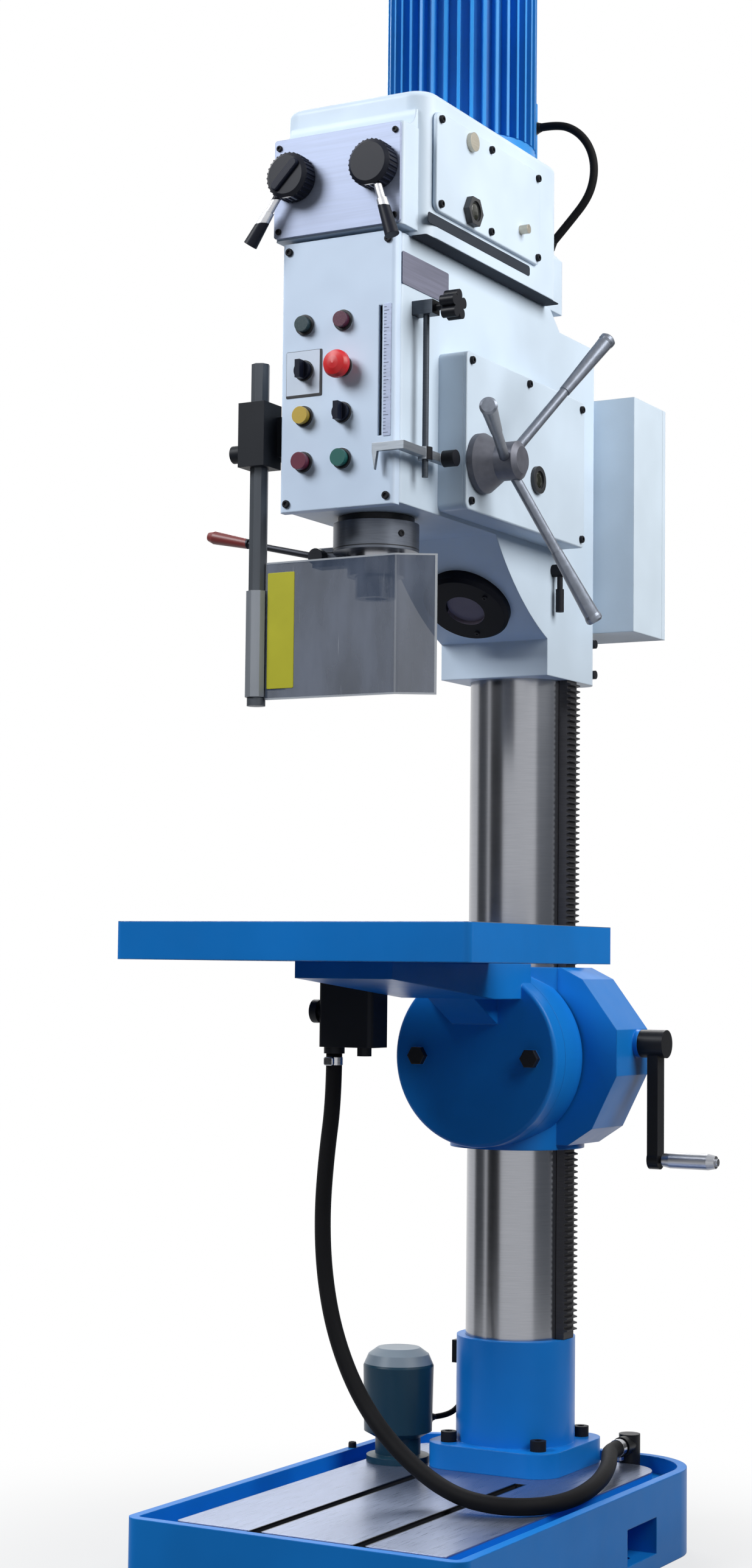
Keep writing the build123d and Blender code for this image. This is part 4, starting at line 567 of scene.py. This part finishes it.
# The collar's neck takes the near-black painted shade.
finish("collar_finish", two_finishes(steel((.13, .145, .175), rough=.3, stretch=(1, 1, 30), scale=40),
                                     moulded((.012, .013, .016)), collar_neck_painted_shade, metal=(.9, 0)),
       Specular_IOR_Level=.3)
finish("pilot_lenses", two_finishes(moulded((.02, .05, .06), rough=.2), moulded((.10, .02, .05), rough=.2),
                                    lamp_colour), Coat_Weight=.5)
finish("crank_finish", two_finishes(moulded((.008, .009, .012)), steel((.42, .43, .46), rough=.26),
                                    crank_grip, metal=(0, 1)), Specular_IOR_Level=.15)
finish("lever_finish", two_finishes(steel((.03, .032, .04), rough=.36), moulded((.20, .03, .028), rough=.34),
                                    lever_tip, metal=(.8, 0)))
finish("speed_finish", two_finishes(moulded((.005, .007, .015)), steel((.6, .61, .64), rough=.24),
                                    knob_neck, metal=(0, 1)), Specular_IOR_Level=.15)
finish("rod_finish", two_finishes(steel((.06, .07, .085), rough=.36), moulded((.006, .007, .011)),
                                  rod_knob, metal=(.7, 0)), Specular_IOR_Level=.15)
finish("stop_finish", two_finishes(steel((.30, .33, .37), rough=.3), moulded((.006, .007, .011)),
                                   stop_knob, metal=(.9, 0)), Specular_IOR_Level=.15)
finish("fitting_finish", two_finishes(enamel(motor_blue, radius=.0012), moulded((.008, .009, .011)),
                                      fittings_black), Specular_IOR_Level=.15)
finish("gear_plate", two_finishes(steel((.4, .41, .42), rough=.4), moulded((.16, .17, .18), rough=.5),
                                  plate_of_switchgear, metal=(.8, 0)))
finish("plug_mix", two_finishes(steel((.46, .43, .36), rough=.3), moulded((.016, .018, .022)),
                                plugs_black, metal=(1, 0)))
print("finishes", len(finishes))

# %% Ring the panel's controls and the lamp's lens
panel_grey = (.63, .755, .94)
left_column, right_column = -.054, .010
top_row, row_pitch = 1.823, .0665
bezel_radius = .0152
lens_radius = .031
lens_lean = .6
lamp_low, lamp_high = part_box("work_lamp")
lamp_middle = (lamp_low + lamp_high) / 2


def bezel(x, y, z):
    column = abs(x - left_column).smaller(abs(x - right_column))
    row = abs((z - top_row + row_pitch * 8.5).rest(row_pitch) - row_pitch / 2)
    away = (column * column + row * row).root()
    return (away < bezel_radius) * (y < -.2522) * inside(z, 1.6, 1.85)


def lens_of_lamp(x, y, z):
    back_off = (y - lamp_middle.y) * math.cos(lens_lean) - (z - lamp_middle.z) * math.sin(lens_lean)
    return (x * x + back_off * back_off) < lens_radius ** 2


finish("panel_finish", two_finishes(enamel(panel_grey, edge=1.1, rough=.38), moulded((.03, .033, .04)),
                                    bezel), Specular_IOR_Level=.3)
finish("lamp_finish", two_finishes(moulded((.003, .004, .008), rough=.4), moulded((.20, .17, .21), rough=.2),
                                   lens_of_lamp), Specular_IOR_Level=.06)
print("finishes", len(finishes))

# %% Put a finish on every node
wardrobe = {
    "blue_base": ["base_casting"],
    "blue_table": ["table_top"],
    "blue_casting": ["pedestal", "table_bracket"],
    "arm_finish": ["table_arm"],
    "blue_motor": ["motor_frame", "fan_cowl"],
    "pale_casting": ["head_casting", "gearbox_casting", "gearbox_side_cover", "feed_housing", "feed_cover"],
    "pale_sheet": ["cabinet_box", "cabinet_door"],
    "panel_finish": ["front_panel"],
    "satin_plate": ["shift_plate"],
    "pump_finish": ["coolant_pump"],
    "ground_steel": ["column", "quill"],
    "collar_finish": ["quill_collar"],
    "turned_steel": ["spindle", "spindle_bearings", "gearbox_bearings"],
    "gear_steel": ["lift_pinion", "feed_pinion", "spindle_drive_gear", "low_countershaft",
                   "high_countershaft", "motor_pinion"],
    "rack_steel": ["column_rack"],
    "black_oxide": ["frame_bolts", "bracket_bolts", "head_lock_lever"],
    "bar_steel": ["capstan_arms"],
    "dark_paint": ["guard_clamp", "table_drain"],
    "hub_iron": ["capstan_hub"],
    "post_steel": ["guard_rod"],
    "sleeve_grey": ["guard_sleeve"],
    "smoked_sheet": ["guard_sheet"],
    "black_plastic": ["mode_selector", "feed_selector"],
    "red_plastic": ["emergency_stop"],
    "wine_plastic": ["red_button"],
    "yellow_plastic": ["yellow_button"],
    "green_plastic": ["green_button"],
    "pilot_lenses": ["pilot_lamps"],
    "crank_finish": ["crank"],
    "lever_finish": ["collar_lever"],
    "speed_finish": ["left_speed_knob", "right_speed_knob"],
    "rod_finish": ["depth_rod"],
    "stop_finish": ["depth_arm"],
    "fitting_finish": ["line_fittings"],
    "gear_plate": ["contactor_plate"],
    "lamp_finish": ["work_lamp"],
    "plug_mix": ["oil_plugs"],
    "rubber": ["motor_cable", "pump_cable", "drain_hose"],
}
dressed = set()
for finish_name, node_names in wardrobe.items():
    for node_name in node_names:
        nodes[node_name].data.materials.clear()
        nodes[node_name].data.materials.append(finishes[finish_name])
        dressed.add(node_name)
print("dressed", len(dressed), "bare", sorted(set(nodes) - dressed))

motor_line_length = .268
pump_line_length = .106


def path_length(path):
    return sum((two - one).length for one, two in zip(path, path[1:]))


def declare(piece, node, length):
    piece.data.materials.append(finishes["rubber"])
    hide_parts(node)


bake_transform(hose_head)
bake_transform(hose_rise)
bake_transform(hose_loop)
for piece, path in ((hose_head, head_path), (hose_rise, rise_path), (hose_loop, loop_path)):
    declare(piece, "drain_hose", path_length(path))
    print(piece.name, round(path_length(path), 4))
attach(motor_cable, "frame")
declare(motor_cable, "motor_cable", motor_line_length)
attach(pump_cable, "frame")
declare(pump_cable, "pump_cable", pump_line_length)
print("hose", round(path_length(hose_path), 4))

# %% [markdown]
# ## Screws
# Covers and plates are held by blackened socket-head screws. They are all one shape, so a Geometry
# Nodes tree makes a head with a hexagon socket and sets it on each place of a small mesh of points,
# turned along the direction that each point carries. Sizes are inputs of the tree.

# %% Build the screw tree


def new_tree(name, inputs):
    tree = bpy.data.node_groups.new(name, "GeometryNodeTree")
    tree.interface.new_socket("Geometry", in_out="INPUT", socket_type="NodeSocketGeometry")
    for label, kind, value in inputs:
        socket = tree.interface.new_socket(label, in_out="INPUT", socket_type="NodeSocket" + kind)
        socket.default_value = value
    tree.interface.new_socket("Material", in_out="INPUT", socket_type="NodeSocketMaterial")
    tree.interface.new_socket("Geometry", in_out="OUTPUT", socket_type="NodeSocketGeometry")
    start = tree.nodes.new("NodeGroupInput")
    tree.nodes.new("NodeGroupOutput")
    return Wire(tree), {socket.name: Wire(tree, socket) for socket in start.outputs}


def close_tree(shape, material):
    real = shape.node("GeometryNodeRealizeInstances", values={0: shape})
    done = real.node("GeometryNodeSetMaterial", values={"Geometry": real, "Material": material})
    end = next(node for node in done.tree.nodes if node.bl_idname == "NodeGroupOutput")
    done.tree.links.new(done.socket, end.inputs[0])
    print(done.tree.name, len(done.tree.nodes), "nodes")
    return done.tree


def lifted(shape, height):
    lift = shape.node("ShaderNodeCombineXYZ", values={"Z": height})
    return shape.node("GeometryNodeTransform", values={"Geometry": shape, "Translation": lift})


def screw_tree():
    wire, given = new_tree("socket_screws", [("Head", "Float", .01), ("Height", "Float", .004),
                                             ("Key", "Float", .005)])
    radius = given["Head"] * .5
    height = given["Height"]
    wall, sides = .7, 24
    hexagon = {"Vertices": 6, "Radius": given["Key"] * .5, "Depth": height}
    key = lifted(wire.node("GeometryNodeMeshCylinder", values=hexagon), height * .95)
    drum = {"Vertices": sides, "Radius": radius, "Depth": height * wall}
    crown = {"Vertices": sides, "Radius Top": radius * .86, "Radius Bottom": radius, "Depth": height * .3}
    heads = [lifted(wire.node("GeometryNodeMeshCylinder", values=drum), height * (wall / 2)),
             lifted(wire.node("GeometryNodeMeshCone", values=crown), height * wall)]
    cut = {"operation": "DIFFERENCE"}
    heads = [wire.node("GeometryNodeMeshBoolean", cut, {0: shape, 1: key}) for shape in heads]
    whole = wire.node("GeometryNodeJoinGeometry", values={0: heads[0]})
    wire.tree.links.new(heads[1].socket, whole.socket.node.inputs[0])
    facing = wire.node("GeometryNodeInputNamedAttribute", {"data_type": "FLOAT_VECTOR"}, {"Name": "facing"})
    turn = wire.node("FunctionNodeAlignRotationToVector", {"axis": "Z"}, {"Vector": facing})
    stand = {"Points": given["Geometry"], "Instance": whole, "Rotation": turn}
    return close_tree(wire.node("GeometryNodeInstanceOnPoints", values=stand), given["Material"])


def grown(name, tree, mesh, finish_name, body, slot, place=None, **sizes):
    piece = placed(name, mesh)
    modifier = piece.modifiers.new("grow", "NODES")
    modifier.node_group = tree
    for socket in tree.interface.items_tree:
        if socket.in_out == "INPUT" and socket.name in sizes:
            modifier[socket.identifier] = sizes[socket.name]
        if socket.name == "Material":
            modifier[socket.identifier] = finishes[finish_name]
    made = evaluated(piece)
    piece.modifiers.clear()
    piece.data = made
    if place is not None:
        made.transform(place)
    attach(piece, body)
    print(name, len(made.vertices), "points")


screws = screw_tree()


def set_screws(name, spots, body, head, height, key):
    mesh = bpy.data.meshes.new(name + "_places")
    mesh.from_pydata([place for place, direction in spots], [], [])
    facing = mesh.attributes.new("facing", "FLOAT_VECTOR", "POINT")
    for item, (place, direction) in zip(facing.data, spots):
        item.vector = direction
    grown(name, screws, mesh, "black_oxide", body, "dark_steel", Head=head, Height=height, Key=key)


# %% Screw down the covers and plates
right_face, front_face, rear_face, up_face = (1, 0, 0), (0, -1, 0), (0, 1, 0), (0, 0, 1)
cover_low, cover_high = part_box("gearbox_side_cover")
feed_low, feed_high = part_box("feed_cover")
plate_low, plate_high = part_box("shift_plate")
panel_low, panel_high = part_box("front_panel")
panel_y = panel_low.y + .003
plate_inset = .008
plate_rows = (1.963, 2.034, 2.086)


def corners(first, second, low, high, inset, between=()):
    spots = []
    for along in [first + inset, second - inset, *between]:
        for across in (low + inset, high - inset):
            spots.append((along, across))
    return spots


cover_mid = (cover_low.y + cover_high.y) / 2
feed_mid = (feed_low.y + feed_high.y) / 2
cover_spots = [((cover_high.x, y, z), right_face)
               for y, z in corners(cover_low.y, cover_high.y, cover_low.z, cover_high.z, .011, [cover_mid])]
cover_spots += [((feed_high.x, y, z), right_face)
                for y, z in corners(feed_low.y, feed_high.y, feed_low.z, feed_high.z, .013)]
cover_spots.append(((feed_high.x, feed_mid, feed_high.z - .010), right_face))
plate_spots = [((x, plate_low.y, z), front_face)
               for x in (plate_low.x + plate_inset, plate_high.x - plate_inset) for z in plate_rows]
panel_spots = [((x, panel_y, z), front_face)
               for x, z in corners(panel_low.x, panel_high.x, panel_low.z, panel_high.z, .012)]
set_screws("cover_screws", cover_spots, "frame", head=.0115, height=.005, key=.006)
set_screws("plate_screws", plate_spots, "frame", head=.009, height=.003, key=.0045)
set_screws("panel_screws", panel_spots, "frame", head=.0115, height=.0035, key=.006)

# %% Set the screws of the rest of the machine
lamp_seat = Vector((0, .1592, 1.4692))
lamp_out = Vector((0, -.5832, -.8123))
lamp_down = Vector((0, .8123, -.5832))
lamp_depth, lamp_ring = .0155, .0515
lamp_spots = []
for step in range(3):
    turn = math.radians(90 + 120 * step)
    radial = math.cos(turn) * Vector((1, 0, 0)) + math.sin(turn) * lamp_down
    lamp_spots.append((lamp_seat + lamp_out * lamp_depth + lamp_ring * radial, lamp_out))
terminal_low, terminal_high = Vector((-.033, .176, 2.195)), Vector((.057, .283, 2.290))
motor_spots = [((x, terminal_high.y, z), rear_face)
               for x, z in corners(terminal_low.x, terminal_high.x, terminal_low.z, terminal_high.z, .009)]
cowl_low, cowl_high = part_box("fan_cowl")
cowl_width = cowl_high.x - cowl_low.x
cowl_mid = (cowl_low + cowl_high) / 2
cowl_ring = Vector((cowl_mid.x, cowl_mid.y, cowl_low.z + .012))
# A hair less than half the width sinks the heads into the cowl's wall.
wall_share = .4985
for step in range(4):
    turn = math.radians(45 + 90 * step)
    out = Vector((math.cos(turn), math.sin(turn), 0))
    motor_spots.append((cowl_ring + out * cowl_width * wall_share, out))
collar_middle = Vector((0, -.133, 1.527))
collar_out = Vector((.903, -.430, 0))
collar_radius = .0625
rim_spot = (-.2612, .282, .130)
set_screws("lamp_screws", lamp_spots, "frame", head=.008, height=.003, key=.004)
set_screws("motor_screws", motor_spots, "frame", head=.0085, height=.004, key=.0045)
set_screws("rim_bolt", [(rim_spot, up_face)], "frame", head=.013, height=.009, key=.007)
set_screws("collar_set_screw", [(collar_middle + collar_out * collar_radius, collar_out)], "quill_body",
           head=.010, height=.002, key=.0055)

# %% [markdown]
# ## Plates, strips and lenses
# Flat pieces share one helper, a rounded plate with a broken edge, and round ones share a lathe.
# Both are set by a matrix whose Z points out of the face they lie on. Plates stay bare metal: a
# small data plate on the head, a framed legend round the selector and a scale beside the slot.

# %% Cut plates and turn rounds


def seat(place, facing):
    out = Vector(facing).normalized()
    across = Vector((0, 0, 1)).cross(out) if abs(out.z) < .99 else Vector((1, 0, 0))
    across.normalize()
    return Matrix.Translation(place) @ Matrix((across, out.cross(across), out)).transposed().to_4x4()


def keep(name, mesh, finish_name, body, place):
    mesh.materials.append(finishes[finish_name])
    mesh.transform(place)
    piece = placed(name, mesh)
    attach(piece, body)
    print(name, len(mesh.polygons), "faces")


def skin(rings, closed):
    sheet = bmesh.new()
    loops = [[sheet.verts.new(point) for point in ring] for ring in rings]
    pairs = list(zip(loops, loops[1:])) + ([(loops[-1], loops[0])] if closed else [])
    for lower, upper in pairs:
        for step in range(len(lower)):
            after = (step + 1) % len(lower)
            sheet.faces.new((lower[step], lower[after], upper[after], upper[step]))
    if not closed:
        sheet.faces.new(loops[0][::-1])
        sheet.faces.new(loops[-1])
    bmesh.ops.remove_doubles(sheet, verts=sheet.verts, dist=1e-7)
    bmesh.ops.recalc_face_normals(sheet, faces=sheet.faces)
    mesh = bpy.data.meshes.new("skin")
    sheet.to_mesh(mesh)
    sheet.free()
    return mesh


def plate(width, height, thick, corner, broken=.0003):
    def ring(inset, level):
        points = []
        for step in range(24):
            turn = math.radians(7.5 + 15 * step)
            x = math.copysign(width / 2 - corner, math.cos(turn)) + (corner - inset) * math.cos(turn)
            y = math.copysign(height / 2 - corner, math.sin(turn)) + (corner - inset) * math.sin(turn)
            points.append((x, y, level))
        return points
    return skin([ring(0, 0), ring(0, thick - broken), ring(broken, thick)], closed=False)


def turned(profile, closed=False, sides=48):
    turns = [2 * math.pi * step / sides for step in range(sides)]
    rings = []
    for radius, level in profile:
        rings.append([(radius * math.cos(turn), radius * math.sin(turn), level) for turn in turns])
    return skin(rings, closed)


down_face = (0, 0, -1)
keep("data_plate", plate(.140, .047, .0012, .003), "label_plate", "frame",
     seat((.094, -.163, 1.895), right_face))
# Painted shade: a dark strip under the side cover's lower edge and another in the joint under the gearbox's
# overhang stand for the shade there.
keep("cover_shade_strip", plate(.330, .016, .0008, .005), "shade_strip_grey", "frame",
     seat((.122, -.0445, 1.970), right_face))
keep("joint_shade_strip", plate(.026, .440, .0012, .004), "shade_strip_grey", "frame",
     seat((.108, .009, 1.945), down_face))
keep("guard_strip", plate(.045, .168, .0006, .002), "yellow_film", "guard_screen",
     seat((-.0915, -.2475, 1.3835), front_face))

# %% Lay the legend and the scale strip
strip_thickness = .0008


def framed(p):
    x, y, z = p.axes()
    # The thin border all round is print; the wider dark band on the right and at the bottom is a painted
    # shadow of the plate's edge.
    line = (x > -.0285) | (z < 1.7220) | (x < -.0838) | (z > 1.7853)
    tone = p.noise(scale=40, detail=3).mix(rgba((.60, .69, .83)), rgba((.66, .75, .88)))
    tone = line.mix(tone, rgba((.012, .013, .018)))
    return {"Base Color": tone, "Roughness": .35 + p.noise(scale=300) * .1}


finish("legend_finish", framed, Specular_IOR_Level=.35)
keep("selector_legend", plate(.060, .068, strip_thickness, .002), "legend_finish", "frame",
     seat((-.0545, panel_y, 1.752), front_face))
keep("scale_strip", plate(.012, .190, strip_thickness, .0015), "satin_plate", "frame",
     seat((.0825, panel_y, 1.7445), front_face))

# %% Mark the scale


def tick_tree():
    wire, given = new_tree("scale_ticks", [("Count", "Int", 37), ("Pitch", "Float", .005),
                                           ("Width", "Float", .0006), ("Short", "Float", .004),
                                           ("Long", "Float", .008)])
    offset = wire.node("ShaderNodeCombineXYZ", values={"Y": given["Pitch"]})
    line = wire.node("GeometryNodeMeshLine", values={"Count": given["Count"], "Offset": offset})
    fifth = wire.node("GeometryNodeInputIndex").rest(5) < .5
    length = given["Short"] + fifth * (given["Long"] - given["Short"])
    size = wire.node("ShaderNodeCombineXYZ", values={"X": length, "Y": given["Width"], "Z": .0002})
    stroke = wire.node("GeometryNodeMeshCube", values={"Size": (1, 1, 1)})
    stroke = wire.node("GeometryNodeTransform", values={"Geometry": stroke, "Translation": (.5, 0, .5)})
    stand = {"Points": line, "Instance": stroke, "Scale": size}
    return close_tree(wire.node("GeometryNodeInstanceOnPoints", values=stand), given["Material"])


grown("scale_ticks", tick_tree(), bpy.data.meshes.new("tick_start"), "black_plastic", "frame",
      "black_plastic", place=seat((.0768, panel_y - strip_thickness, 1.6545), front_face))

# %% Fit the oil sights
dome = [(.0128, 0), (.0105, .0012), (.006, .0020), (.0001, .0022)]
sights = {"gearbox_sight_glass": (.135, -.0889, 2.0069), "feed_sight_glass": (.144, .111, 1.643)}
for name, place in sights.items():
    keep(name, turned(dome), "sight_glass", "frame", seat(place, right_face))

# %% [markdown]
# ## Grips, clips and hinges
# The speed knobs are moulded with fine flutes, and the left one has a pointer bar across its face.
# The flutes are one rib set round a circle by Geometry Nodes. Worm-drive clips hold the hose, and
# the cabinet door at the back hangs on two barrel hinges.

# %% Flute the speed knobs
knob_x, knob_height = .068, 2.036
knob_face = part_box("left_speed_knob")[0].y


def flute_tree():
    wire, given = new_tree("knob_flutes", [("Count", "Int", 30), ("Ring", "Float", .033),
                                           ("Rib", "Float", .0016), ("Length", "Float", .02)])
    around = {"Vertices": given["Count"], "Radius": given["Ring"]}
    circle = wire.node("GeometryNodeMeshCircle", values=around)
    bar = {"Vertices": 8, "Radius": given["Rib"], "Depth": given["Length"]}
    rib = wire.node("GeometryNodeMeshCylinder", values=bar)
    placed_ribs = wire.node("GeometryNodeInstanceOnPoints", values={"Points": circle, "Instance": rib})
    return close_tree(placed_ribs, given["Material"])


flutes = flute_tree()
for name, x in (("left", -knob_x), ("right", knob_x)):
    grown(name + "_flutes", flutes, bpy.data.meshes.new("flute_start"), "black_plastic", name + "_shifter",
          "black_plastic", place=seat((x, knob_face + .0165, knob_height), front_face),
          Ring=.0328, Rib=.0017, Length=.022)
bar_seat = seat((-knob_x, knob_face, knob_height), front_face) @ Matrix.Rotation(math.radians(45), 4, "Z")
keep("pointer_bar", plate(.056, .013, .005, .006, .0015), "black_plastic", "left_shifter",
     bar_seat)

# %% Clip the hose
band_inner, band_outer, band_half = .01245, .0134, .006
band_profile = [(band_inner, -band_half), (band_outer, -band_half), (band_outer, band_half),
                (band_inner, band_half)]


def hose_clip(name, place, along, body):
    seated = seat(place, along)
    keep(name + "_band", turned(band_profile, closed=True), "turned_steel", body, seated)
    screw_side = seated @ Matrix.Translation((0, -.0132, 0)) @ Matrix.Rotation(math.radians(90), 4, "X")
    housing = plate(.016, .013, .006, .003, .001)
    keep(name + "_housing", housing, "turned_steel", body, screw_side)


hose_clip("top_clip", (-.165, .045, .7585), up_face, "table")
hose_clip("elbow_clip", (.1495, .4085, .150), rear_face, "frame")

# %% Hang the cabinet door
door_low, door_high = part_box("cabinet_door")
left_face = (-1, 0, 0)
hinge_inset = .06
barrel = [(.0001, -.028), (.0042, -.028), (.005, -.027), (.005, -.0095), (.0044, -.009), (.0044, .009),
          (.005, .0095), (.005, .027), (.0042, .028), (.0001, .028)]
for name, level in (("lower_hinge", door_low.z + hinge_inset), ("upper_hinge", door_high.z - hinge_inset)):
    keep(name + "_barrel", turned(barrel, sides=24), "bar_steel", "frame",
         seat((door_low.x - .0056, door_high.y - .0068, level), up_face))
    keep(name + "_leaf", plate(.024, .050, .0015, .003), "bar_steel", "frame",
         seat((door_low.x, door_low.y - .0135, level), left_face))
print("hinges at", round(door_low.x, 3))

# %% [markdown]
# ## Floor and light
# The machine stands on a plain pale floor in soft studio light. Its right side faces a large
# softbox and its front is a little darker, as in the picture. Camera, mirror and glass rays see a
# white surround, while the light that falls on the paint stays at a plain level.

# %% Build the surround and the floor


def surround_mask(wire):
    path = wire.node("ShaderNodeLightPath", out="Is Camera Ray")
    return path | path.beside("Is Glossy Ray") | path.beside("Is Transmission Ray")


scene.view_settings.view_transform = "Standard"
world = bpy.data.worlds.new("studio")
scene.world = world
world.use_nodes = True
world.node_tree.nodes.clear()
sky = Wire(world.node_tree)
seen = surround_mask(sky)
soft_light = sky.node("ShaderNodeBackground", values={"Color": (.90, .95, 1, 1), "Strength": .08})
white = sky.node("ShaderNodeBackground", values={"Color": (1, 1, 1, 1), "Strength": 1})
sky_blend = sky.node("ShaderNodeMixShader", values={0: seen, 1: soft_light, 2: white})
world.node_tree.links.new(sky_blend.socket, world.node_tree.nodes.new("ShaderNodeOutputWorld").inputs[0])

ground = bpy.data.meshes.new("floor")
ground.from_pydata([(-9, -9, 0), (9, -9, 0), (9, 9, 0), (-9, 9, 0)], [], [(0, 1, 2, 3)])
floor = placed("floor", ground)
floor_paint = bpy.data.materials.new("floor_paint")
floor_paint.use_nodes = True
floor_tree = floor_paint.node_tree
floor_tree.nodes.clear()
spot = Wire(floor_tree).node("ShaderNodeTexCoord", out="Object")
floor_x, floor_y = spot.axes()[:2]
away = (floor_x * floor_x + floor_y * floor_y).root()
watched = surround_mask(spot)
paper_tone = watched.mix(rgba((.12, .125, .13)), rgba((.50, .52, .54)))
paper = spot.node("ShaderNodeBsdfDiffuse", values={"Color": paper_tone})
glow = spot.node("ShaderNodeEmission", values={"Color": (1, 1, 1, 1), "Strength": 1})
share = (away.step(.3, 1.2) * .3 + .7) * watched
floor_blend = spot.node("ShaderNodeMixShader", values={0: share, 1: paper, 2: glow})
floor_tree.links.new(floor_blend.socket, floor_tree.nodes.new("ShaderNodeOutputMaterial").inputs[0])
ground.materials.append(floor_paint)
print("floor", tuple(round(v, 1) for v in floor.dimensions))

# %% Hang the softboxes and the flags


def softbox(name, place, target, size, power, colour=(1, 1, 1)):
    light = bpy.data.lights.new(name, "AREA")
    light.shape = "RECTANGLE"
    light.size, light.size_y = size
    light.energy = power
    light.color = colour
    lamp = placed(name, light)
    lamp.location = place
    lamp.rotation_euler = (Vector(target) - Vector(place)).to_track_quat("-Z", "Y").to_euler()


def flag(name, place, width, height, cloth):
    card = plate(width, height, .01, .005)
    card.materials.append(finishes[cloth])
    card.transform(seat(place, Vector((-place[0], -place[1], 0))))
    piece = placed(name, card)
    piece.visible_camera = False
    piece.visible_diffuse = False
    piece.visible_shadow = False
    piece.visible_transmission = False


softbox("right_box", (2.2, .05, 2.8), target=(0, 0, 1.6), size=(1.8, 1.8), power=77, colour=(1, .99, .97))
softbox("left_box", (-2.3, -3.2, 4.3), target=(0, 0, 1.4), size=(2.2, 2), power=225, colour=(.96, .98, 1))
softbox("rear_box", (-2.6, 3.4, 3.6), target=(0, 0, 1.3), size=(2.4, 2), power=95)
moulded_finish("black_cloth", (.02, .021, .024), specular=0, rough=.9)
moulded_finish("grey_cloth", (.30, .31, .33), specular=0, rough=.9)
flag("front_flag", (-1.05, -1.63, 1.3), 1.3, 2.6, "black_cloth")
flag("rear_flag", (1.15, 1.87, 1.3), 1.1, 2.6, "black_cloth")
flag("right_flag", (2.2, .27, 1.3), 2, 2.6, "grey_cloth")
flag("left_flag", (-2.1, -.53, 1.3), 1.3, 2.6, "grey_cloth")

# %% Update the scene
bpy.context.view_layer.update()
